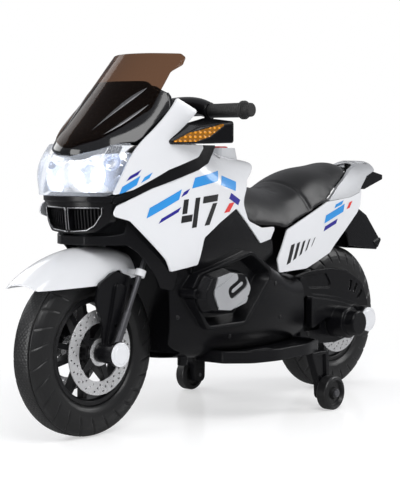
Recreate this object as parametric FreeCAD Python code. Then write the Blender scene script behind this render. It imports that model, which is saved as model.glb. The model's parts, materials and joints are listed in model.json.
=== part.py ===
import FreeCAD, Part
import math
import os

# A child's electric motorbike in millimetres: +X forward, +Y to the rider's left, +Z up.
# The origin is on the ground under the middle of the bike, whose length runs along X.
# Side-view places are given from an axle: d ahead of it and h above it.

# Wheels and stance
TYRE_RADIUS = 150.0
TYRE_WIDTH = 62.0
BEAD_RADIUS = 95.0
WHEEL_BASE = 715.0
REAR_OVERHANG = 175.0
HUB_WIDTH = 52.0
HUB_RADIUS = 22.0
SPOKE_PAIRS = 5
SPOKE_WIDTH = 9.0
DISC_RADIUS = 75.0
DISC_BAND = 24.0
DISC_THICKNESS = 2.4
DISC_PLACE = 36.0
DISC_HOLES = 20
DISC_HOLE_RADIUS = 1.9

# Steering and fork
RAKE = 26.0
FORK_SPREAD = 72.0
FORK_ROD_RADIUS = 4.5
FORK_SLEEVE_RADIUS = 6.5
FORK_SLEEVE_END = 78.0
FORK_HUB_RADIUS = 17.5
FORK_HUB_FLANGE = 22.0
FORK_HUB_REACH = 86.0
FORK_PLATE = 6.0
CROWN_START = 214.0
CROWN_HEIGHT = 16.0
STEM_RADIUS = 14.0
HEAD_WALL = 9.0
HEAD_START = 246.0
HEAD_END = 392.0
BAR_STATION = 467.0
BAR_RADIUS = 9.0
BAR_HALF_WIDTH = 210.0
GRIP_RADIUS = 13.0
GRIP_LENGTH = 90.0
FENDER_HALF_WIDTH = 50.0

# Axles
FRONT_AXLE_RADIUS = 5.0
REAR_AXLE_RADIUS = 6.0
CAP_THICKNESS = 5.0
FRONT_CAP_RADIUS = 21.0
REAR_CAP_RADIUS = 25.0

# Drive
GEAR_MODULE = 2.0
GEAR_TEETH = 60
PINION_TEETH = 13
GEAR_WIDTH = 8.0
GEAR_PLACE = 39.0
MOTOR_RADIUS = 18.0
MOTOR_LENGTH = 57.0
MOTOR_SHAFT_RADIUS = 1.6
MOTOR_COVER_RADIUS = 32.0
MOTOR_COVER_END = 142.0
ARM_INNER = 51.0
ARM_PLATE = 27.0
ARM_HUB_REACH = 112.0
GUARD_THICKNESS = 5.0
GUARD_SLOTS = 3

# Body
WALL = 3.0
PANEL_GAP = 0.8
SEAT_GAP = 0.8
FLOOR_HEIGHT = -28.0
BEAM_HALF_WIDTH = 46.0
BAY_FLOOR = 92.0
LINER_BACK = -164.0
LINER_FOOT = 130.0
BAY_RIM = 121.0
ENGINE_REACH = 47.0
ENGINE_TAPER = 6.0
TRIM_THICKNESS = 3.0
TRIM_SLANT = 26.0
BATTERY_LENGTH = 151.0
BATTERY_WIDTH = 65.0
BATTERY_HEIGHT = 95.0

# Footboards, pedal and training wheels
FOOTBOARD_HEIGHT = 22.0
FOOTBOARD_FLOOR = 15.0
FOOTBOARD_BOTTOM = 113.0
PEDAL_LENGTH = 74.0
PEDAL_WIDTH = 44.0
PEDAL_THICKNESS = 6.0
PEDAL_PIN_RADIUS = 2.5
PEDAL_REST_ANGLE = 14.0
PAD_LENGTH = 78.0
PAD_WIDTH = 36.0
PAD_RISE = 1.5
PAD_BACK = -440.0
PAD_Y = 126.0
TREAD_RIBS = 4
TRAIN_RADIUS = 33.0
TRAIN_WIDTH = 26.0
TRAIN_OUTER = 194.0
TRAIN_BACK = 229.0
TRAIN_BOLT_RADIUS = 4.0

# Console switches
CONSOLE_HEIGHT = 355.0
SWITCH_LENGTH = 20.0
SWITCH_WIDTH = 12.0
SWITCH_HEIGHT = 10.0
SWITCH_PIN_RADIUS = 1.5
BUTTON_RADIUS = 7.0

# Clearances
RUNNING = 0.05
SEATED = 0.2
LOOSE = 0.5

AXLE_HEIGHT = TYRE_RADIUS
OVERALL_LENGTH = TYRE_RADIUS + WHEEL_BASE + REAR_OVERHANG
FRONT_AXLE_X = OVERALL_LENGTH / 2 - TYRE_RADIUS
REAR_AXLE_X = FRONT_AXLE_X - WHEEL_BASE
GEAR_RADIUS = GEAR_MODULE * GEAR_TEETH / 2
PINION_RADIUS = GEAR_MODULE * PINION_TEETH / 2
BACKLASH = 0.2
MOTOR_AHEAD = GEAR_RADIUS + PINION_RADIUS + BACKLASH

Vector = FreeCAD.Vector
ACROSS = Vector(0, 1, 0)
UP = Vector(0, 0, 1)
ORIGIN = Vector(0, 0, 0)
FAR = 400.0


# Places and outlines

def front(d, h, r=0.0):
    """Side-view point measured from the front axle, with its corner radius."""
    return (FRONT_AXLE_X + d, AXLE_HEIGHT + h, r)


def rear(d, h, r=0.0):
    """Side-view point measured from the rear axle, with its corner radius."""
    return (REAR_AXLE_X + d, AXLE_HEIGHT + h, r)


def on_side(y):
    return lambda a, b: Vector(a, y, b)


def on_front(x):
    return lambda a, b: Vector(x, a, b)


def on_plan(z):
    return lambda a, b: Vector(a, b, z)


def corner_cut(before, corner, after):
    """Tangent points and middle of the arc that rounds one corner."""
    a = Vector(before[0] - corner[0], before[1] - corner[1], 0)
    b = Vector(after[0] - corner[0], after[1] - corner[1], 0)
    half = a.getAngle(b) / 2
    radius = corner[2] if len(corner) > 2 else 0.0
    reach = min(radius / math.tan(half), 0.48 * a.Length, 0.48 * b.Length)
    a.normalize()
    b.normalize()
    tip = Vector(corner[0], corner[1], 0)
    if reach < 0.01:
        return tip, None, tip
    real_radius = reach * math.tan(half)
    inward = (a + b).normalize()
    middle = tip + inward * (real_radius / math.sin(half) - real_radius)
    return tip + a * reach, middle, tip + b * reach


def rounded_wire(points, place):
    """Closed wire through (a, b, radius) corners, laid in space by place."""
    count = len(points)
    cuts = [corner_cut(points[i - 1], points[i], points[(i + 1) % count]) for i in range(count)]
    edges = []
    for i, (start, middle, end) in enumerate(cuts):
        last = cuts[i - 1][2]
        if (start - last).Length > 0.01:
            edges.append(Part.LineSegment(place(last.x, last.y), place(start.x, start.y)).toShape())
        if middle is not None:
            arc = Part.Arc(place(start.x, start.y), place(middle.x, middle.y), place(end.x, end.y))
            edges.append(arc.toShape())
    return Part.Wire(edges)


def prism(points, place, travel, trim=0.0):
    face = Part.Face(rounded_wire(points, place))
    if trim:
        face = face.makeOffset2D(-trim)
    return face.extrude(travel)


def side_prism(points, low, high, trim=0.0):
    return prism(points, on_side(low), Vector(0, high - low, 0), trim)


def front_prism(points, low, high, trim=0.0):
    return prism(points, on_front(low), Vector(high - low, 0, 0), trim)


def plan_prism(points, low, high, trim=0.0):
    return prism(points, on_plan(low), Vector(0, 0, high - low), trim)


def mirrored(shape):
    return shape.mirror(ORIGIN, ACROSS)


def both(shape):
    return Part.makeCompound([shape, mirrored(shape)])


def fused(shapes):
    """Union of the shapes; split faces are merged unless lofted skins are among them."""
    whole = shapes[0]
    for shape in shapes[1:]:
        whole = whole.fuse(shape)
    lofted = any(isinstance(face.Surface, Part.BSplineSurface) for face in whole.Faces)
    return whole if lofted else whole.removeSplitter()


def rod(radius, start, end):
    return Part.makeCylinder(radius, (end - start).Length, start, end - start)


def cross_rod(radius, x, z, low, high):
    """Cylinder across the bike from y low to y high."""
    return Part.makeCylinder(radius, high - low, Vector(x, low, z), ACROSS)


def turned(profile, x, z):
    """Ring or disc turned about the cross axis at (x, z) from (y, radius, corner) points."""
    wire = rounded_wire(profile, lambda a, b: Vector(x, a, z + b))
    return Part.Face(wire).revolve(Vector(x, 0, z), ACROSS, 360)


# Smooth body forms

def section(x, half, low, high, power, steps=16):
    """Closed rounded section across the bike: 2 is an ellipse and higher powers are squarer."""
    middle = (low + high) / 2
    height = (high - low) / 2
    points = []
    for i in range(steps):
        turn = 2 * math.pi * (i + 0.5) / steps
        c, s = math.cos(turn), math.sin(turn)
        y = math.copysign(abs(c) ** (2 / power), c) * half
        z = middle + math.copysign(abs(s) ** (2 / power), s) * height
        points.append(Vector(x, y, z))
    curve = Part.BSplineCurve()
    curve.interpolate(points, PeriodicFlag=True)
    return Part.Wire(curve.toShape())


def hull(stations, inset=0.0):
    """Smooth solid through sections given as (place, half width, low, high, power)."""
    wires = []
    for place, half, low, high, power in stations:
        wires.append(section(place, half - inset, AXLE_HEIGHT + low + inset, AXLE_HEIGHT + high - inset,
                             power))
    return Part.makeLoft(wires, True)


def skin(stations, inset=0.0, wall=WALL):
    return hull(stations, inset).cut(hull(stations, inset + wall))


def from_front(d):
    return FRONT_AXLE_X + d


def from_rear(d):
    return REAR_AXLE_X + d


FAIRING = [
    (from_front(70), 82, 150, 470, 4.0),
    (from_front(0), 97, 120, 450, 4.0),
    (from_front(-100), 114, 100, 410, 4.0),
    (from_front(-200), 120, 90, 372, 3.6),
    (from_front(-300), 112, 90, 346, 3.0),
    (from_front(-400), 96, 90, 332, 2.8),
    (from_front(-490), 84, 90, 320, 2.8),
]
COWLING = [
    (from_front(70), 78, 150, 490, 3.0),
    (from_front(0), 94, 150, 490, 3.0),
    (from_front(-80), 115, 150, 490, 3.0),
    (from_front(-160), 122, 150, 490, 3.0),
    (from_front(-240), 124, 150, 490, 3.0),
]
BELLY = [
    (from_front(-128), 86, -26, 176, 4.0),
    (from_front(-190), 106, -31, 178, 4.0),
    (from_front(-290), 116, -37, 178, 4.5),
    (from_front(-390), 112, -37, 150, 4.5),
    (from_rear(250), 100, -34, 116, 4.0),
    (from_rear(190), 88, -26, 104, 4.0),
]
CHIN = [
    (from_front(28), 26, 110, 290, 4.0),
    (from_front(10), 57, 110, 290, 4.0),
    (from_front(-14), 77, 105, 290, 4.0),
    (from_front(-50), 91, 100, 290, 4.0),
    (from_front(-100), 99, 90, 290, 4.0),
    (from_front(-170), 106, 90, 290, 4.0),
]
TAIL = [
    (from_rear(300), 95, 30, 336, 3.0),
    (from_rear(185), 89, 40, 334, 3.0),
    (from_rear(95), 81, 50, 330, 3.0),
    (from_rear(-5), 69, 70, 328, 3.0),
    (from_rear(-105), 56, 90, 328, 3.0),
    (from_rear(-150), 50, 100, 326, 3.0),
]
SADDLE = [
    (from_front(-270), 88, 80, 322, 2.8),
    (from_front(-330), 97, 80, 305, 2.8),
    (from_front(-385), 95, 80, 286, 2.7),
    (from_front(-445), 93, 80, 275, 2.6),
    (from_rear(215), 91, 80, 277, 2.6),
    (from_rear(168), 88, 80, 297, 2.6),
    (from_rear(119), 85, 80, 313, 2.6),
    (from_rear(50), 79, 80, 321, 2.6),
    (from_rear(-10), 71, 80, 324, 2.6),
    (from_rear(-80), 59, 80, 319, 2.6),
]
FENDER = [
    (from_front(152), 42, 60, 124, 3.0),
    (from_front(110), FENDER_HALF_WIDTH - 1, 40, 152, 3.0),
    (from_front(60), FENDER_HALF_WIDTH, 30, 172, 3.0),
    (from_front(5), FENDER_HALF_WIDTH, 30, 181, 3.0),
    (from_front(-50), FENDER_HALF_WIDTH, 30, 178, 3.0),
    (from_front(-90), FENDER_HALF_WIDTH - 2, 30, 166, 3.0),
]


# Side outlines shared by neighbouring panels

UPPER_OUTLINE = [
    front(19, 272, 3), front(-20, 350, 160), front(-128, 441, 3), front(-172, 419, 4),
    front(-84, 360, 4), front(-184, 359, 5), front(-165, 337, 12), front(-92, 315, 30), front(-20, 281, 10),
]
BAND_OUTLINE = [
    front(14, 267, 2), front(-20, 281, 10), front(-92, 315, 30), front(-165, 337, 12), front(-184, 359, 3),
    front(-218, 359, 3), front(-196, 326, 12), front(-170, 315, 20), front(-62, 284, 40), front(14, 255, 4),
]
SIDE_OUTLINE = [
    front(14, 255, 10), front(-62, 284, 40), front(-170, 315, 20), front(-196, 326, 12), front(-222, 390, 3),
    front(-425, 390, 3), front(-404, 326, 12), front(-333, 295, 20), front(-303, 256, 24),
    front(-322, 219, 20), front(-372, 204, 40), front(-427, 204, 5), front(-408, 180, 5),
    front(-369, 174, 6), front(-281, 243, 8), front(-228, 219, 12), front(-183, 193, 14),
    front(-171, 145, 4), front(-110, 136, 5), front(-94, 158, 12), front(-14, 228, 14), front(23, 238, 8),
]
SEAT_OUTLINE = [
    front(-404, 326, 5), front(-333, 295, 20), front(-303, 256, 24), front(-322, 219, 20),
    front(-372, 204, 40), front(-430, 204, 20), rear(252, 196, 20), rear(207, 212, 40), rear(101, 247, 60),
    rear(46, 279, 40), rear(-25, 311, 10), rear(-75, 322, 4), rear(-75, 380, 2), front(-404, 380, 2),
]
TAIL_OUTLINE = [
    rear(275, 113, 6), rear(285, 139, 10), rear(253, 196, 10), rear(207, 212, 40), rear(101, 247, 4),
    rear(1, 254, 20), rear(-41, 263, 6), rear(-52, 274, 3), rear(-40, 236, 10), rear(-26, 221, 20),
    rear(70, 159, 40), rear(92, 142, 20), rear(179, 115, 40),
]
RAIL_OUTLINE = [
    rear(99, 247, 2), rear(46, 279, 40), rear(-25, 311, 10), rear(-75, 322, 4), rear(-75, 345, 2),
    rear(-135, 345, 2), rear(-130, 308, 8), rear(-84, 296, 12), rear(-52, 274, 6), rear(-41, 263, 6),
    rear(1, 254, 20),
]
ENGINE_OUTLINE = [
    front(-158, 104, 16), front(-176, 128, 16), front(-226, 137, 20), front(-272, 130, 16),
    front(-292, 100, 18), front(-276, 66, 18), front(-226, 54, 20), front(-172, 60, 20),
    front(-156, 82, 16),
]
BREATHER = front(-152, 96, 9)
BAY_OUTLINE = [
    front(-168, 130, 12), front(-144, 98, 14), front(-190, 27, 16), front(-300, 27, 18), front(-388, 119, 20),
    front(-318, 164, 20),
]


def panel(stations, outline, inset=0.0):
    """Left half of a skin, cut to a side outline with half a panel gap round it."""
    return skin(stations, inset).common(side_prism(outline, PANEL_GAP / 2, FAR, PANEL_GAP / 2))


# Wheels

def tyre(x):
    half = TYRE_WIDTH / 2
    tread = TYRE_RADIUS
    side = [(-half + 9, BEAD_RADIUS, 2), (-half, BEAD_RADIUS + 13, 10), (-half, tread - 18, 16),
            (-half + 12, tread - 2, 3), (-half + 12.5, tread - 5, 0.5), (-half + 14, tread - 5, 0.5),
            (-half + 15, tread - 1, 1), (-half + 20, tread, 10)]
    opposite = [(-y, r, c) for y, r, c in reversed(side)]
    return turned(side + opposite, x, AXLE_HEIGHT)


def spoke(x, angle):
    """One tapering spoke from the hub to the rim barrel."""
    inner = HUB_RADIUS - 4
    outer = BEAD_RADIUS - 9
    root, tip = 11.0, 7.0
    profile = [(inner, -SPOKE_WIDTH / 2 - 1), (outer, -SPOKE_WIDTH / 2), (outer, SPOKE_WIDTH / 2),
               (inner, SPOKE_WIDTH / 2 + 1)]
    bar = prism([(x + a, AXLE_HEIGHT + b, 0) for a, b in profile], on_side(-root), Vector(0, 2 * root, 0))
    slope = [(inner, -root), (outer, -tip), (outer, tip), (inner, root)]
    taper = prism([(x + a, b, 0) for a, b in slope], on_plan(AXLE_HEIGHT - 20), Vector(0, 0, 40))
    bar = bar.common(taper)
    bar.rotate(Vector(x, 0, AXLE_HEIGHT), ACROSS, angle)
    return bar


def rim(x, axle_radius):
    half = TYRE_WIDTH / 2 - 8
    seat = BEAD_RADIUS - SEATED
    barrel = turned([(-half, seat, 1), (-half, seat - 8, 2), (-half + 6, seat - 11, 2),
                     (half - 6, seat - 11, 2),
                     (half, seat - 8, 2), (half, seat, 1)], x, AXLE_HEIGHT)
    hub = turned([(-HUB_WIDTH / 2, axle_radius + RUNNING), (HUB_WIDTH / 2, axle_radius + RUNNING),
                  (HUB_WIDTH / 2, HUB_RADIUS, 3), (-HUB_WIDTH / 2, HUB_RADIUS, 3)], x, AXLE_HEIGHT)
    spokes = []
    for i in range(SPOKE_PAIRS):
        for lean in (-13, 13):
            spokes.append(spoke(x, i * 360 / SPOKE_PAIRS + lean))
    bore = cross_rod(axle_radius + RUNNING, x, AXLE_HEIGHT, -HUB_WIDTH, HUB_WIDTH)
    return fused([barrel, hub] + spokes).cut(bore)


def brake_disc(x, axle_radius):
    """Perforated band on a five-armed carrier, on the left of the wheel."""
    low = DISC_PLACE
    high = DISC_PLACE + DISC_THICKNESS
    band_inner = DISC_RADIUS - DISC_BAND
    band = turned([(low, band_inner), (high, band_inner), (high, DISC_RADIUS, 0.5), (low, DISC_RADIUS, 0.5)],
                  x, AXLE_HEIGHT)
    holes = []
    for i in range(DISC_HOLES):
        for row in range(3):
            angle = math.radians((i + row / 3) * 360 / DISC_HOLES)
            reach = band_inner + DISC_BAND * (row + 1) / 4
            holes.append(cross_rod(DISC_HOLE_RADIUS, x + reach * math.cos(angle),
                                   AXLE_HEIGHT + reach * math.sin(angle), low - 1, high + 1))
    band = band.cut(Part.makeCompound(holes))
    collar = turned([(HUB_WIDTH / 2 + SEATED, axle_radius + LOOSE), (high + 1, axle_radius + LOOSE),
                     (high + 1, HUB_RADIUS - 3, 1), (high - 1, HUB_RADIUS + 3, 1),
                     (low - 1, HUB_RADIUS + 3, 1),
                     (HUB_WIDTH / 2 + SEATED, HUB_RADIUS - 4, 1)], x, AXLE_HEIGHT)
    arms = []
    for i in range(5):
        arm = side_prism([(x + HUB_RADIUS, AXLE_HEIGHT - 7, 0), (x + band_inner + 3, AXLE_HEIGHT - 4, 0),
                          (x + band_inner + 3, AXLE_HEIGHT + 4, 0), (x + HUB_RADIUS, AXLE_HEIGHT + 7, 0)],
                          low, high)
        arm.rotate(Vector(x, 0, AXLE_HEIGHT), ACROSS, i * 72 + 36)
        arms.append(arm)
    return fused([band, collar] + arms)


# Drive

def gear_blank(teeth, x, low, high):
    """Involute spur gear across the bike, one tooth centred on +X."""
    pitch = GEAR_MODULE * teeth / 2
    base = pitch * math.cos(math.radians(20))
    tip = pitch + 0.8 * GEAR_MODULE
    root = pitch - 1.15 * GEAR_MODULE
    flat = 2 * math.pi / teeth
    half_tooth = flat / 4 - BACKLASH / (4 * pitch)

    def involute(radius):
        roll = math.sqrt(max((radius / base) ** 2 - 1, 0.0))
        return roll - math.atan(roll)

    flank = []
    for radius in (max(base, root), pitch, tip):
        flank.append((radius, half_tooth + involute(pitch) - involute(radius)))
    points = []
    for i in range(teeth):
        middle = i * flat
        tooth = [(root, -flank[0][1])] + [(r, -a) for r, a in flank] + [(r, a) for r, a in reversed(flank)]
        tooth.append((root, flank[0][1]))
        for r, a in tooth:
            point = Vector(x + r * math.cos(middle + a), low, AXLE_HEIGHT + r * math.sin(middle + a))
            if not points or (point - points[-1]).Length > 0.01:
                points.append(point)
    wire = Part.makePolygon(points + [points[0]])
    return Part.Face(wire).extrude(Vector(0, high - low, 0))


def drive_gear():
    low = -GEAR_PLACE - GEAR_WIDTH
    high = -GEAR_PLACE
    teeth = gear_blank(GEAR_TEETH, REAR_AXLE_X, low, high)
    dish = turned([(low, 24), (low, GEAR_RADIUS - 9, 2), (low + 3, GEAR_RADIUS - 9, 1), (low + 3, 24)],
                  REAR_AXLE_X, AXLE_HEIGHT)
    boss = turned([(low, REAR_AXLE_RADIUS + LOOSE), (-HUB_WIDTH / 2 - SEATED, REAR_AXLE_RADIUS + LOOSE),
                   (-HUB_WIDTH / 2 - SEATED, 18, 1), (low, 18, 1)], REAR_AXLE_X, AXLE_HEIGHT)
    bore = cross_rod(REAR_AXLE_RADIUS + LOOSE, REAR_AXLE_X, AXLE_HEIGHT, low - 1, high + 1)
    return teeth.cut(dish).cut(bore).fuse(boss).removeSplitter()


def motor_pinion():
    low = -GEAR_PLACE - GEAR_WIDTH
    x = REAR_AXLE_X + MOTOR_AHEAD
    teeth = gear_blank(PINION_TEETH, x, low, -GEAR_PLACE)
    shaft = cross_rod(MOTOR_SHAFT_RADIUS, x, AXLE_HEIGHT, -ARM_INNER - ARM_PLATE, -GEAR_PLACE)
    return teeth.fuse(shaft).removeSplitter()


def drive_motor():
    """Motor can with its end boss, in the bore of the right rear arm."""
    x = REAR_AXLE_X + MOTOR_AHEAD
    high = -ARM_INNER - 4
    can = turned([(high - MOTOR_LENGTH, 0), (high, 0), (high, MOTOR_RADIUS, 3),
                  (high - MOTOR_LENGTH, MOTOR_RADIUS, 3)],
                 x, AXLE_HEIGHT)
    bore = cross_rod(MOTOR_SHAFT_RADIUS + RUNNING, x, AXLE_HEIGHT, -ARM_INNER - ARM_PLATE - 1, 0)
    return can.cut(bore)


def wheel_guard():
    """Left guard plate over the upper half of the brake disc, with a sunk window and a row of slots."""
    low = ARM_INNER
    high = ARM_INNER + GUARD_THICKNESS
    outline = [rear(176, 98, 4), rear(130, 106, 10), rear(60, 108, 30), rear(0, 100, 40), rear(-62, 68, 30),
               rear(-84, 20, 16), rear(-60, -12, 10), rear(-10, -20), rear(60, 0), rear(150, 40)]
    window = [rear(146, 96, 5), rear(72, 98, 8), rear(46, 66, 8), rear(136, 72, 6)]
    plate = side_prism(outline, low, high).cut(side_prism(window, high - GUARD_THICKNESS / 2, high + 1))
    for i in range(GUARD_SLOTS):
        slot = side_prism([rear(58, -4, 2), rear(80, -5, 2), rear(80, 5, 2), rear(58, 4, 2)], low - 1,
                          high + 1)
        slot.rotate(Vector(REAR_AXLE_X, 0, AXLE_HEIGHT), ACROSS, -(104 + 17 * i))
        plate = plate.cut(slot)
    return plate


def rear_arm_left():
    """Cast rear arm with axle hub and stepped round motor cover."""
    x = REAR_AXLE_X
    motor_x = x + MOTOR_AHEAD
    low = ARM_INNER
    high = ARM_INNER + ARM_PLATE
    outline = [rear(189.6, -30, 4), rear(189.6, 98, 6), rear(176, 98, 16), rear(150, 62, 20),
               rear(60, 50, 30), rear(-14, 30, 20), rear(-31, 0, 26), rear(-14, -31, 20), rear(70, -44, 30),
               rear(150, -40, 10)]
    plug = side_prism([rear(222, -8, 6), rear(222, 82, 6), rear(180, 82), rear(180, -8)], low, high - 3)
    plate = side_prism(outline, low, high).fuse(plug)
    pocket = [rear(178, -12, 8), rear(178, 70, 8), rear(148, 40, 14), rear(122, 36, 8), rear(122, -12, 8)]
    plate = plate.cut(side_prism(pocket, high - 9, high + 1))
    ledge = side_prism([rear(170, -6, 5), rear(170, 58, 6), rear(60, 40, 8), rear(20, 24, 6), rear(20, 4, 6),
                        rear(118, 12, 8)], high - 1, high + 14)
    hub = turned([(low, 0), (ARM_HUB_REACH, 0), (ARM_HUB_REACH, REAR_CAP_RADIUS + 1.5, 2),
                  (ARM_HUB_REACH - 12, REAR_CAP_RADIUS + 3, 2), (low, REAR_CAP_RADIUS + 4)], x, AXLE_HEIGHT)
    cover = turned([(low, 0), (MOTOR_COVER_END, 0), (MOTOR_COVER_END, MOTOR_COVER_RADIUS - 7, 3),
                    (MOTOR_COVER_END - 22, MOTOR_COVER_RADIUS - 6, 1),
                    (MOTOR_COVER_END - 23, MOTOR_COVER_RADIUS, 3),
                    (low, MOTOR_COVER_RADIUS)], motor_x, AXLE_HEIGHT)
    body = fused([plate, wheel_guard(), ledge, hub, cover])
    axle = cross_rod(REAR_AXLE_RADIUS + RUNNING, x, AXLE_HEIGHT, 0, FAR)
    motor_room = cross_rod(MOTOR_RADIUS + SEATED, motor_x, AXLE_HEIGHT, low + 4 - SEATED,
                           low + 4 + MOTOR_LENGTH + SEATED)
    shaft_room = cross_rod(MOTOR_SHAFT_RADIUS + LOOSE, motor_x, AXLE_HEIGHT, low - 1, low + 6)
    return body.cut(axle).cut(motor_room).cut(shaft_room)


def axle_cap(x, radius, start):
    """Slightly domed round cap with a stepped rim, on the left end of an axle."""
    return turned([(start, 0), (start + CAP_THICKNESS, 0), (start + CAP_THICKNESS, radius - 6, 4),
                   (start + CAP_THICKNESS - 1.2, radius - 5, 0.4), (start + CAP_THICKNESS - 1.6, radius, 1.5),
                   (start, radius)], x, AXLE_HEIGHT)


# Steering assembly

def along(station, y=0.0, off=0.0):
    """Point on the steering axis, station above the front axle; off is square to it, forward."""
    lean = math.radians(RAKE)
    return Vector(FRONT_AXLE_X - station * math.sin(lean) + off * math.cos(lean), y,
                  AXLE_HEIGHT + station * math.cos(lean) + off * math.sin(lean))


def axis_prism(points, start, end):
    """Prism along the steering axis from (forward, across, radius) corners."""
    def place(a, b):
        return along(start, b, a)
    return prism(points, place, along(end) - along(start))


def steering_stem():
    """Fork crown and the stem that runs up through the steering head."""
    end = CROWN_START + CROWN_HEIGHT
    reach = FORK_SPREAD + 12
    crown = axis_prism([(-18, -24, 10), (-12, -reach, 9), (12, -reach, 9), (18, -24, 10), (18, 24, 10),
                        (12, reach, 9), (-12, reach, 9), (-18, 24, 10)], CROWN_START, end)
    stem = rod(STEM_RADIUS, along(end - 1), along(BAR_STATION))
    return crown.fuse(stem).removeSplitter()


def fork_tube():
    start = FORK_HUB_RADIUS + LOOSE
    sleeve = rod(FORK_SLEEVE_RADIUS, along(start, FORK_SPREAD), along(FORK_SLEEVE_END, FORK_SPREAD))
    tube = rod(FORK_ROD_RADIUS, along(FORK_SLEEVE_END - 1, FORK_SPREAD), along(CROWN_START, FORK_SPREAD))
    return sleeve.fuse(tube).removeSplitter()


def fork_leg():
    """Left fork plate with its crease, rising from a stepped axle hub to the fender."""
    low = FENDER_HALF_WIDTH + LOOSE
    outline = [front(-14, 4, 4), front(-40, 70, 20), front(-62, 128, 8), front(-22, 141, 12),
               front(18, 121, 8), front(27, 92, 12), front(9, 42, 20), front(10, 4, 4)]
    plate = side_prism(outline, low, low + FORK_PLATE)
    raised = [front(-10, 4, 3), front(-32, 70, 20), front(-44, 112, 6), front(-20, 122, 8), front(-2, 44, 12),
              front(6, 4, 3)]
    crease = side_prism(raised, low + FORK_PLATE - 1, low + FORK_PLATE + 5)
    x = FRONT_AXLE_X
    hub = turned([(DISC_PLACE + DISC_THICKNESS + 2, 0), (FORK_HUB_REACH, 0),
                  (FORK_HUB_REACH, FORK_HUB_FLANGE, 1.5),
                  (FORK_HUB_REACH - 6, FORK_HUB_FLANGE, 1.5), (FORK_HUB_REACH - 6.5, FORK_HUB_RADIUS, 0.5),
                  (DISC_PLACE + DISC_THICKNESS + 2, FORK_HUB_RADIUS)], x, AXLE_HEIGHT)
    hole = cross_rod(3.5, x - 16, AXLE_HEIGHT + 46, low - 1, low + FAR)
    axle = cross_rod(FRONT_AXLE_RADIUS + RUNNING, x, AXLE_HEIGHT, 0, FAR)
    return fused([plate, crease, hub]).cut(hole).cut(axle)


def front_fender():
    """White fender skin with a clip round each fork tube."""
    outline = [front(149, 116, 5), front(150, 130, 3), front(150, 200, 2), front(-78, 200, 2),
               front(-80, 126, 5), front(-54, 124, 6), front(-40, 142, 10), front(-12, 137, 14),
               front(20, 117, 10)]
    shell = skin(FENDER).common(side_prism(outline, -FAR, FAR))
    clip_station = 150.0
    parts = [shell]
    for side in (-1, 1):
        y = side * FORK_SPREAD
        ring = rod(FORK_ROD_RADIUS + 5, along(clip_station - 6, y), along(clip_station + 6, y))
        arm = axis_prism([(-7, side * (FENDER_HALF_WIDTH - 4), 0), (7, side * (FENDER_HALF_WIDTH - 4), 0),
                          (5, y, 0),
                          (-5, y, 0)], clip_station - 4, clip_station + 5)
        parts += [ring, arm]
    inner = hull(FENDER, WALL)
    whole = fused(parts).cut(inner)
    for side in (-1, 1):
        y = side * FORK_SPREAD
        whole = whole.cut(rod(FORK_ROD_RADIUS + SEATED, along(clip_station - 30, y),
                              along(clip_station + 30, y)))
    return whole


def oval(y, station, off, wide, tall):
    """Ellipse square to the cross axis, for the handlebar cover."""
    centre = along(station, y, off)
    ellipse = Part.Ellipse(centre, max(wide, tall), min(wide, tall))
    ellipse.Axis = ACROSS
    return Part.Wire(ellipse.toShape())


def handlebar():
    """Cross tube in a moulded cover that sweeps from the stem out to two collars."""
    collar = BAR_HALF_WIDTH - GRIP_LENGTH - 8
    bar = along(BAR_STATION)
    tube = cross_rod(BAR_RADIUS, bar.x, bar.z, -BAR_HALF_WIDTH + 8, BAR_HALF_WIDTH - 8)
    half = Part.makeLoft([oval(0, BAR_STATION + 2, 0, 27, 21), oval(55, BAR_STATION + 10, 2, 24, 17),
                          oval(collar - 12, BAR_STATION + 5, 1, 17, 15.5),
                          oval(collar, BAR_STATION + 1, 0, 16, 15)], True)
    ring = cross_rod(15.5, bar.x, bar.z, collar - 3, collar + 3)
    socket = rod(STEM_RADIUS + SEATED, along(CROWN_START), along(BAR_STATION + SEATED))
    return fused([tube, half, mirrored(half), ring, mirrored(ring)]).cut(socket)


def grip():
    """Left rubber grip with ribs, an inner flange and a closed end."""
    bar = along(BAR_STATION)
    start = BAR_HALF_WIDTH - GRIP_LENGTH - 4.5
    end = BAR_HALF_WIDTH
    profile = [(start, BAR_RADIUS + SEATED), (end - 8 + SEATED, BAR_RADIUS + SEATED), (end - 8 + SEATED, 0),
               (end, 0),
               (end, GRIP_RADIUS - 1, 2), (end - 14, GRIP_RADIUS, 0.5), (end - 15, GRIP_RADIUS + 3.5, 1),
               (end - 21, GRIP_RADIUS + 3.5, 1), (end - 22, GRIP_RADIUS, 0.5), (start, GRIP_RADIUS - 0.5, 1)]
    wire = rounded_wire(profile, lambda a, b: Vector(bar.x, a, bar.z + b))
    return Part.Face(wire).revolve(bar, ACROSS, 360)


def steering_head():
    """Bushed head tube held by two bulkheads that reach the fairing sides."""
    tube = rod(STEM_RADIUS + HEAD_WALL, along(HEAD_START), along(HEAD_END))
    room = hull(FAIRING, WALL + SEATED)
    parts = [tube]
    for station in (HEAD_START + 48, HEAD_END - 40):
        plate = axis_prism([(-30, 0, 0), (-30, FAR, 0), (30, FAR, 0), (30, 0, 0)], station,
                           station + 5).common(room)
        parts += [plate, mirrored(plate)]
    bore = rod(STEM_RADIUS + RUNNING, along(HEAD_START - 20), along(HEAD_END + 20))
    return fused(parts).cut(bore)


# Nose: sheets that face forward, lofted through rows from (h, centre d, side d, half width)

def nose_row(h, centre, side, half, bulge):
    """Curve across the nose; bulge is the share of the sweep reached at six tenths of the width."""
    points = []
    for share, drop in ((-1, 1), (-0.62, bulge), (0, 0), (0.62, bulge), (1, 1)):
        points.append(Vector(FRONT_AXLE_X + centre - drop * (centre - side), share * half, AXLE_HEIGHT + h))
    curve = Part.BSplineCurve()
    curve.interpolate(points)
    return Part.Wire(curve.toShape())


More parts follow.
